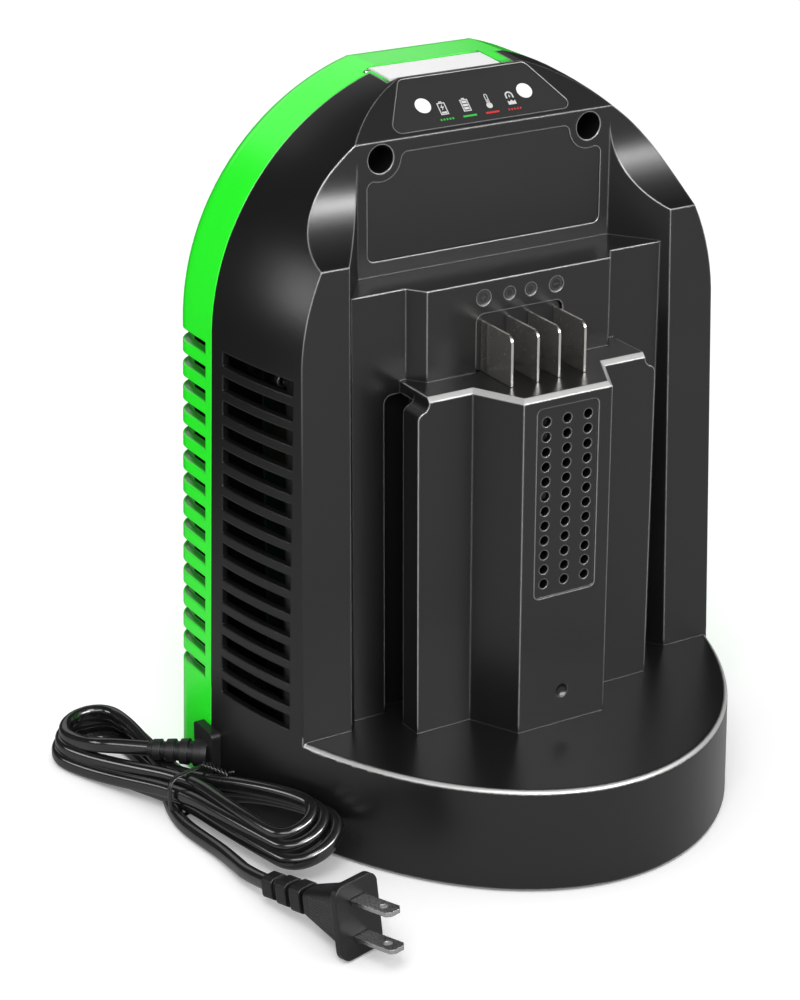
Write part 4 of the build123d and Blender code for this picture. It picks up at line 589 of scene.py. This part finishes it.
sleeve = {"dark": (0.010, 0.010, 0.010), "pale": (0.018, 0.018, 0.018), "rough": 0.22,
          "uneven": 0.12, "grainSize": 900, "grain": 0.00002, "shine": 0.55}
s = Finish("tieSleeve")
fine = s.noise(sleeve["grainSize"])
s.set(Base_Color=s.mix(fine, sleeve["dark"], sleeve["pale"]),
      Roughness=fine * sleeve["uneven"] + sleeve["rough"],
      Normal=s.bump(fine, sleeve["grain"]), Specular_IOR_Level=sleeve["shine"])
for piece in [tieBand] + strands:
    piece.data.materials.append(s.material)
    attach(piece, "charger")
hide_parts("twist_tie")
print("cord and tie")

# printed marks: icons and bars on the sloping panel, pole marks over the contacts
slopeTop, slopeDown = Vector((0, 0.0364, 0.251)), Vector((0, -0.735, -0.678)).normalized()
slopeOut = Vector((0, slopeDown.z, -slopeDown.y))
overlayPoints = [v.co for v in nodes["indicator_overlay"].data.vertices]
printLift = max((point - slopeTop).dot(slopeOut) for point in overlayPoints) + 0.00004
plateFace = {"front": -0.00186, "height": 0.1843}
icons = {"down": 13.7, "places": (-13.2, -4.4, 4.4, 13.2), "barDown": 18.1, "bar": (5.2, 0.7),
         "dash": 0.6, "dashStep": 1.13}


def onSlope(x, down):
    return slopeTop + Vector((x * mm, 0, 0)) + slopeDown * (down * mm) + slopeOut * printLift


def onPlate(x, down):
    return Vector((x * mm, plateFace["front"], plateFace["height"] - down * mm))


def bar(x0, y0, x1, y1):
    return [(x0, y0), (x1, y0), (x1, y1), (x0, y1)]


def disc(x, y, radius, start=0, end=360, inner=0.0):
    steps = max(int((end - start) / 20), 2)
    arc = [(x + radius * cos(radians(start + (end - start) * i / steps)),
            y + radius * sin(radians(start + (end - start) * i / steps))) for i in range(steps + 1)]
    if inner == 0.0:
        return [arc[:-1] if end - start == 360 else arc]
    hole = [(x + (px - x) * inner / radius, y + (py - y) * inner / radius) for px, py in arc]
    return [[arc[i], arc[i + 1], hole[i + 1], hole[i]] for i in range(steps)]


def frameOf(x0, y0, x1, y1, line):
    return [bar(x0, y0, x1, y0 + line), bar(x0, y1 - line, x1, y1),
            bar(x0, y0 + line, x0 + line, y1 - line), bar(x1 - line, y0 + line, x1, y1 - line)]


def lightning(x, y, size):
    return [[(x + 0.30 * size, y - size), (x - 0.55 * size, y + 0.15 * size),
             (x - 0.05 * size, y + 0.12 * size)],
            [(x - 0.30 * size, y + size), (x + 0.55 * size, y - 0.15 * size),
             (x + 0.05 * size, y - 0.12 * size)]]


# each icon in mm from its own centre, second number down the panel
battery = frameOf(-1.5, -2.1, 1.5, 2.6, 0.35) + [bar(-0.6, -2.6, 0.6, -2.2)]
chargingIcon = battery + [bar(-0.95, 1.4, 0.95, 2.1)] + lightning(0, -0.35, 1.35)
fullIcon = battery + [bar(-0.95, -1.5 + 1.25 * i, 0.95, -0.6 + 1.25 * i) for i in range(3)]
stem = [bar(-0.62, -2.3, -0.34, 1.0), bar(0.34, -2.3, 0.62, 1.0), bar(-0.16, -0.8, 0.16, 1.1)]
heatIcon = stem + disc(0, -2.3, 0.62, 180, 360, 0.34) + disc(0, 1.65, 1.15)
peaks = [[(-1.5, 2.6), (-1.5, 0.9), (-0.75, 1.5)],
         [(-1.5, 2.6), (-0.75, 1.5), (0.0, 0.8), (0.75, 1.5), (1.5, 2.6)],
         [(0.75, 1.5), (1.5, 0.9), (1.5, 2.6)]]
faultIcon = disc(0, -1.0, 1.55, 180, 360, 1.0) + lightning(0, -0.7, 0.9) + peaks + \
    [bar(-1.55, -1.0, -1.0, 0.1), bar(1.0, -1.0, 1.55, 0.1)]
barHalf, barRise = icons["bar"][0] / 2, icons["bar"][1] / 2
dashStarts = [-barHalf + icons["dashStep"] * i for i in range(5)]
dashes = [bar(start, -barRise, start + icons["dash"], barRise) for start in dashStarts]
solid = [bar(-barHalf, -barRise, barHalf, barRise)]
plainRing = disc(0, 0, 1.5, inner=1.15)
poleRing = disc(0, 0, 2.1, inner=1.75)
minusMark = poleRing + [bar(-1.1, -0.25, 1.1, 0.25)]
plusMark = minusMark + [bar(-0.25, -1.1, 0.25, -0.25), bar(-0.25, 0.25, 0.25, 1.1)]


def printed(name, shapes, place, centreX, centreDown, material):
    mesh = bpy.data.meshes.new(name)
    bm = bmesh.new()
    for shape in shapes:
        bm.faces.new([bm.verts.new(place(centreX + x, centreDown + y)) for x, y in shape])
    bm.normal_update()
    outward = slopeOut if place is onSlope else Vector((0, -1, 0))
    for face in bm.faces:
        if face.normal.dot(outward) < 0:
            face.normal_flip()
    bm.to_mesh(mesh)
    bm.free()
    mesh.materials.append(material)
    piece = bpy.data.objects.new(name, mesh)
    scene.collection.objects.link(piece)
    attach(piece, "charger")


inks = {
    "printWhite": {"colour": (0.62, 0.62, 0.62), "rough": 0.5, "shine": 0.3},
    "printGreen": {"colour": (0.03, 0.50, 0.05), "rough": 0.5, "shine": 0.3},
    "printRed": {"colour": (0.62, 0.02, 0.02), "rough": 0.5, "shine": 0.3},
    "printGrey": {"colour": (0.05, 0.05, 0.05), "rough": 0.4, "shine": 0.4},
}
for name, values in inks.items():
    finishes[name] = moulded(name, grain=0.000002, grainSize=3000, edge=0.0001, patchy=0.08,
                             **values).material
slopeMarks = {
    "iconCharging": {"shapes": chargingIcon, "bar": dashes, "ink": "printGreen"},
    "iconFull": {"shapes": fullIcon, "bar": solid, "ink": "printGreen"},
    "iconHeat": {"shapes": heatIcon, "bar": solid, "ink": "printRed"},
    "iconFault": {"shapes": faultIcon, "bar": dashes, "ink": "printRed"},
}
for (name, mark), x in zip(slopeMarks.items(), icons["places"]):
    printed(name, mark["shapes"], onSlope, x, icons["down"], finishes["printWhite"])
    printed(name + "Bar", mark["bar"], onSlope, x, icons["barDown"], finishes[mark["ink"]])
poleMarks = {
    "poleMarkPlus": {"shapes": plusMark, "x": -14.3},
    "poleMarkMinus": {"shapes": minusMark, "x": 14.3},
    "poleMarkLeft": {"shapes": plainRing, "x": -4.2},
    "poleMarkRight": {"shapes": plainRing, "x": 4.2},
}
for name, mark in poleMarks.items():
    printed(name, mark["shapes"], onPlate, mark["x"], 0, finishes["printGrey"])
print("printed marks")

# floor, lamps and camera
ground = {"half": 6, "colour": 0.97, "glow": 0.14, "rough": 0.9,
          "glossFront": 0.62, "glossBehind": 0.04, "behind": (-0.05, 0.35)}
half = ground["half"]
floorMesh = bpy.data.meshes.new("floor")
floorMesh.from_pydata([(-half, -half, 0), (half, -half, 0), (half, half, 0), (-half, half, 0)], [],
                      [(0, 1, 2, 3)])
floor = bpy.data.objects.new("floor", floorMesh)
scene.collection.objects.link(floor)
s = Finish("floorWhite")
behind = s.along((0, 1, 0)).ramp(*ground["behind"])
glossTone = s.mix(behind, [ground["glossFront"]] * 3, [ground["glossBehind"]] * 3)
s.set(Base_Color=s.mix(s.lightPath("Is Glossy Ray"), [ground["colour"]] * 3, glossTone),
      Roughness=ground["rough"], Specular_IOR_Level=0.0, Emission_Strength=1.0,
      Emission_Color=s.mix(s.lightPath("Is Camera Ray"), (0, 0, 0), [ground["glow"]] * 3))
floorMesh.materials.append(s.material)

# white surround, dark behind for the gloss on the black housing
surround = {"camera": 1.02, "light": 0.86, "glossFront": 0.40, "glossBehind": 0.03,
            "frontFade": (-0.3, 0.6), "band": 4.4, "bandLow": 0.36, "bandHigh": 0.60,
            "bandFade": 0.06, "bandFront": (0.0, 0.15)}
world = bpy.data.worlds.new("studio")
world.use_nodes = True
scene.world = world
g = Graph(world.node_tree)
direction = g.node("ShaderNodeTexCoord", out="Generated")
towardsFront = g.along((0, -1, 0), direction)
rising = g.along((0, 0, 1), direction)
# a long soft box in front, which only the edges, the bevels and the coves mirror
softBox = rising.ramp(surround["bandLow"], surround["bandLow"] + surround["bandFade"]) * \
    towardsFront.ramp(*surround["bandFront"]) * \
    (1 - rising.ramp(surround["bandHigh"], surround["bandHigh"] + surround["bandFade"]))
plainTone = g.mix(towardsFront.ramp(*surround["frontFade"]), [surround["glossBehind"]] * 3,
                  [surround["glossFront"]] * 3)
glossTone = g.mix(softBox, plainTone, [surround["band"]] * 3)
lit = g.mix(g.lightPath("Is Camera Ray"), [surround["light"]] * 3, [surround["camera"]] * 3)
seen = g.mix(g.lightPath("Is Glossy Ray"), lit, glossTone)
g.feed(world.node_tree.nodes["Background"].inputs["Color"], seen)

lamps = {
    "keyLamp": {"from": (-0.55, -0.75, 1.15), "size": (0.6, 0.6), "power": 7.0, "soft": True},
    "edgeLamp": {"from": (0.10, -0.82, 0.62), "size": (1.15, 0.22), "power": 17.0, "soft": False},
    "rimLamp": {"from": (-1.0, 0.41, 0.37), "size": (0.34, 0.30), "power": 1.5, "soft": False},
    "topLamp": {"from": (0.12, 1.08, 0.72), "size": (1.1, 0.5), "power": 1.3, "soft": False},
}
lampAim = Vector((0, 0, 0.13))
for name, settings in lamps.items():
    data = bpy.data.lights.new(name, "AREA")
    data.shape = "RECTANGLE"
    data.size, data.size_y = settings["size"]
    data.energy = settings["power"]
    holder = bpy.data.objects.new(name, data)
    holder.location = settings["from"]
    holder.rotation_euler = (lampAim - holder.location).to_track_quat("-Z", "Y").to_euler()
    # the lamps that aren't soft only put a sheen on edges and curves
    holder.visible_diffuse = settings["soft"]
    scene.collection.objects.link(holder)
print("floor, surround and lamps")

view = {"azimuth": radians(-30.58), "elevation": radians(21.88), "distance": 0.91026,
        "target": Vector((-0.04129, 0.00635, 0.13289)), "sensor": 36, "lens": 2.73158,
        "shift": -0.04962}
azimuth, elevation = view["azimuth"], view["elevation"]
back = Vector((sin(azimuth) * cos(elevation), -cos(azimuth) * cos(elevation), sin(elevation)))
cameraData = bpy.data.cameras.new("camera")
cameraData.sensor_fit = "VERTICAL"
cameraData.sensor_height = view["sensor"]
cameraData.lens = view["lens"] * view["sensor"]
cameraData.shift_y = view["shift"]
cameraData.clip_start = 0.01
camera = bpy.data.objects.new("camera", cameraData)
camera.location = view["target"] + back * view["distance"]
camera.rotation_euler = (-back).to_track_quat("-Z", "Y").to_euler()
scene.collection.objects.link(camera)
scene.camera = camera
scene.view_settings.view_transform = "Standard"
